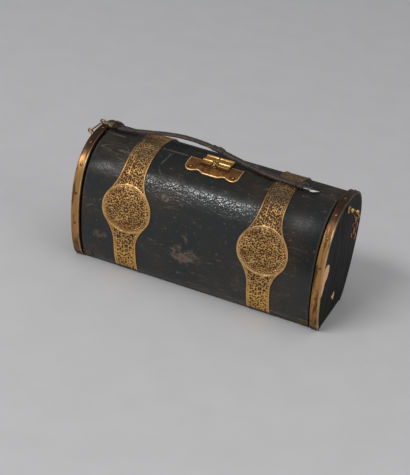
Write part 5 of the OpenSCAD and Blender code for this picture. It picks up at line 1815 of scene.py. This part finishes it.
def makeMirror(look):
    foot, head = mirrorPoint(look, look["low"]), mirrorPoint(look, look["high"])
    run = head - foot
    length = np.linalg.norm(run)
    run = run / length
    out = np.array([run[1], -run[0]])

    def onMirror(u, v, w):
        # u along the box, v up the mirror and w out from its back
        flat = foot + v[..., None] * run + w[..., None] * out
        return np.stack([u + 0 * v, flat[..., 0], flat[..., 1]], -1) * mm

    # moulding: an outer bead, a hollow and an inner bead, carried round with mitred corners
    across = np.array([0.0, 0.0, 0.25, 0.75, 1.15, 1.5, 2.1, 2.7, 3.0, 3.4, 3.8, 4.0, 4.0])
    rise = np.array([0.0, 1.3, 1.95, 2.1, 1.8, 1.25, 1.0, 1.3, 1.7, 1.85, 1.7, 1.45, 0.0])
    side = np.linspace(0, 1, 30)[:-1]
    corners = np.array([[-1, -1], [1, -1], [1, 1], [-1, 1]], float)
    half = np.array([look["width"] / 2, length / 2])
    rings = []
    for k in range(4):
        a, b = corners[k], corners[(k + 1) % 4]
        for s in side:
            place = (a + (b - a) * s)[None, :] * (half[None, :] - across[:, None])
            pearl = 1 + 0.14 * np.cos(s * 40 * np.pi) * ((across > 2.8) & (across < 3.9))
            rings.append(onMirror(place[:, 0], place[:, 1] + length / 2, rise * pearl))
    rings = np.array(rings)
    grime = np.repeat(hump(across, 2.0, 0.6)[None], len(rings), 0)
    ringPiece(
        "mirrorMoulding", rings, lockGilt, "front_cover", "gilt_band", capped=False, smooth=45,
        grime=grime, node="mirror_frame",
    )
    # bevelled plate: rings from the back edge to the front and in to the middle
    halfGlass = half - look["frame"] + 0.05
    steps = [(0.0, 0.05), (0.0, 0.7), (2.6, 1.4), (3.0, 1.4), (9.0, 1.4), (15.0, 1.4)]
    border = np.concatenate([np.linspace(corners[k], corners[(k + 1) % 4], 16)[:-1] for k in range(4)])
    rings = []
    for inward, lift in steps:
        u, v = (border * (halfGlass - inward)).T
        rings.append(onMirror(u, v + length / 2, np.full(60, lift)))
    rings = np.array(rings)
    foxed = np.repeat(np.array([1, 1, 1, 0.9, 0.35, 0.0])[:, None], 60, 1)
    ringPiece(
        "bevelledGlass", rings, silvering, "front_cover", "looking_glass", smooth=20, foxed=foxed,
        node="mirror_glass",
    )


coverTop = arcOf(stationAtFrontY(box["coverEdge"] + 2.5))
quiltedLining("coverQuilt", "cover_lining", "front_cover", 101.2, arcOf(30), coverTop, quiltLook, 0.95)
quiltedLining("backQuilt", "back_lining", "carcass", 101.9, arcOf(206), arcOf(331), quiltLook, 0.85)
for number in (1, 2, 3):
    makeBottle(number, bottleLook)
    makeStopper(number, bottleLook)
makePowderBox(powderLook)
makeComb(combLook)
makeMirror(mirrorLook)
print("inside made")


# Floor and light
stageLook = {"floor": (0.545, 0.543, 0.55), "reach": 6.0}
lights = [
    # name, azimuth from the front (left is minus), elevation, distance, width, height, power
    ("frontSoftbox", -24, 47, 2.8, 1.1, 0.62, 37.8),
    ("overheadSoftbox", 50, 80, 2.6, 2.2, 1.8, 15.0),
    ("rightFill", 70, 30, 2.4, 1.2, 1.2, 6.5),
]


def makeStage(look):
    reach = look["reach"]
    corners = [[-reach, -reach, 0], [reach, -reach, 0], [reach, reach, 0], [-reach, reach, 0]]
    mesh = bpy.data.meshes.new("floor")
    mesh.from_pydata(corners, [], [[0, 1, 2, 3]])
    material, tree, place, shader = startMaterial("floorPaper")
    grain = noise(tree, place, 30, 3)
    colour = mixed(tree, spread(tree, grain, 0.3, 0.7), look["floor"], [0.97 * c for c in look["floor"]])
    dress(tree, shader, colour, 0.95, specular=0.1)
    mesh.materials.append(material)
    floor = bpy.data.objects.new("floor", mesh)
    scene.collection.objects.link(floor)


def makeLights():
    for name, azimuth, elevation, distance, width, height, power in lights:
        a, e = math.radians(azimuth), math.radians(elevation)
        away = Vector((math.sin(a) * math.cos(e), -math.cos(a) * math.cos(e), math.sin(e)))
        data = bpy.data.lights.new(name, "AREA")
        data.shape = "RECTANGLE"
        data.size, data.size_y = width, height
        data.energy = power
        light = bpy.data.objects.new(name, data)
        aim = Vector((0, 0, 0.05))
        turn = away.to_track_quat("Z", "Y").to_matrix().to_4x4()
        light.matrix_world = Matrix.Translation(aim + distance * away) @ turn
        scene.collection.objects.link(light)
    world = bpy.data.worlds.new("studio")
    world.use_nodes = True
    world.node_tree.nodes["Background"].inputs[0].default_value = (0.97, 0.98, 1.0, 1)
    world.node_tree.nodes["Background"].inputs[1].default_value = 0.28
    scene.world = world


makeStage(stageLook)
makeLights()
scene.view_settings.view_transform = "Standard"

plainFinish = {
    # the last word that fits a node's name counts
    "board": boxWood,
    "rail": boxWood,
    "base_leather": baseHide,
    "base_board": baseHide,
    "cover_board": baseHide,
    "hinge_pin": hingeBrass,
    "knuckle": hingeBrass,
    "tongue": hingeBrass,
    "end_lining": redSilk,
    "backing": redSilk,
    "block": redVelvet,
}
for node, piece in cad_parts.items():
    for word, material in plainFinish.items():
        if word in node:
            piece.data.materials.clear()
            piece.data.materials.append(material)
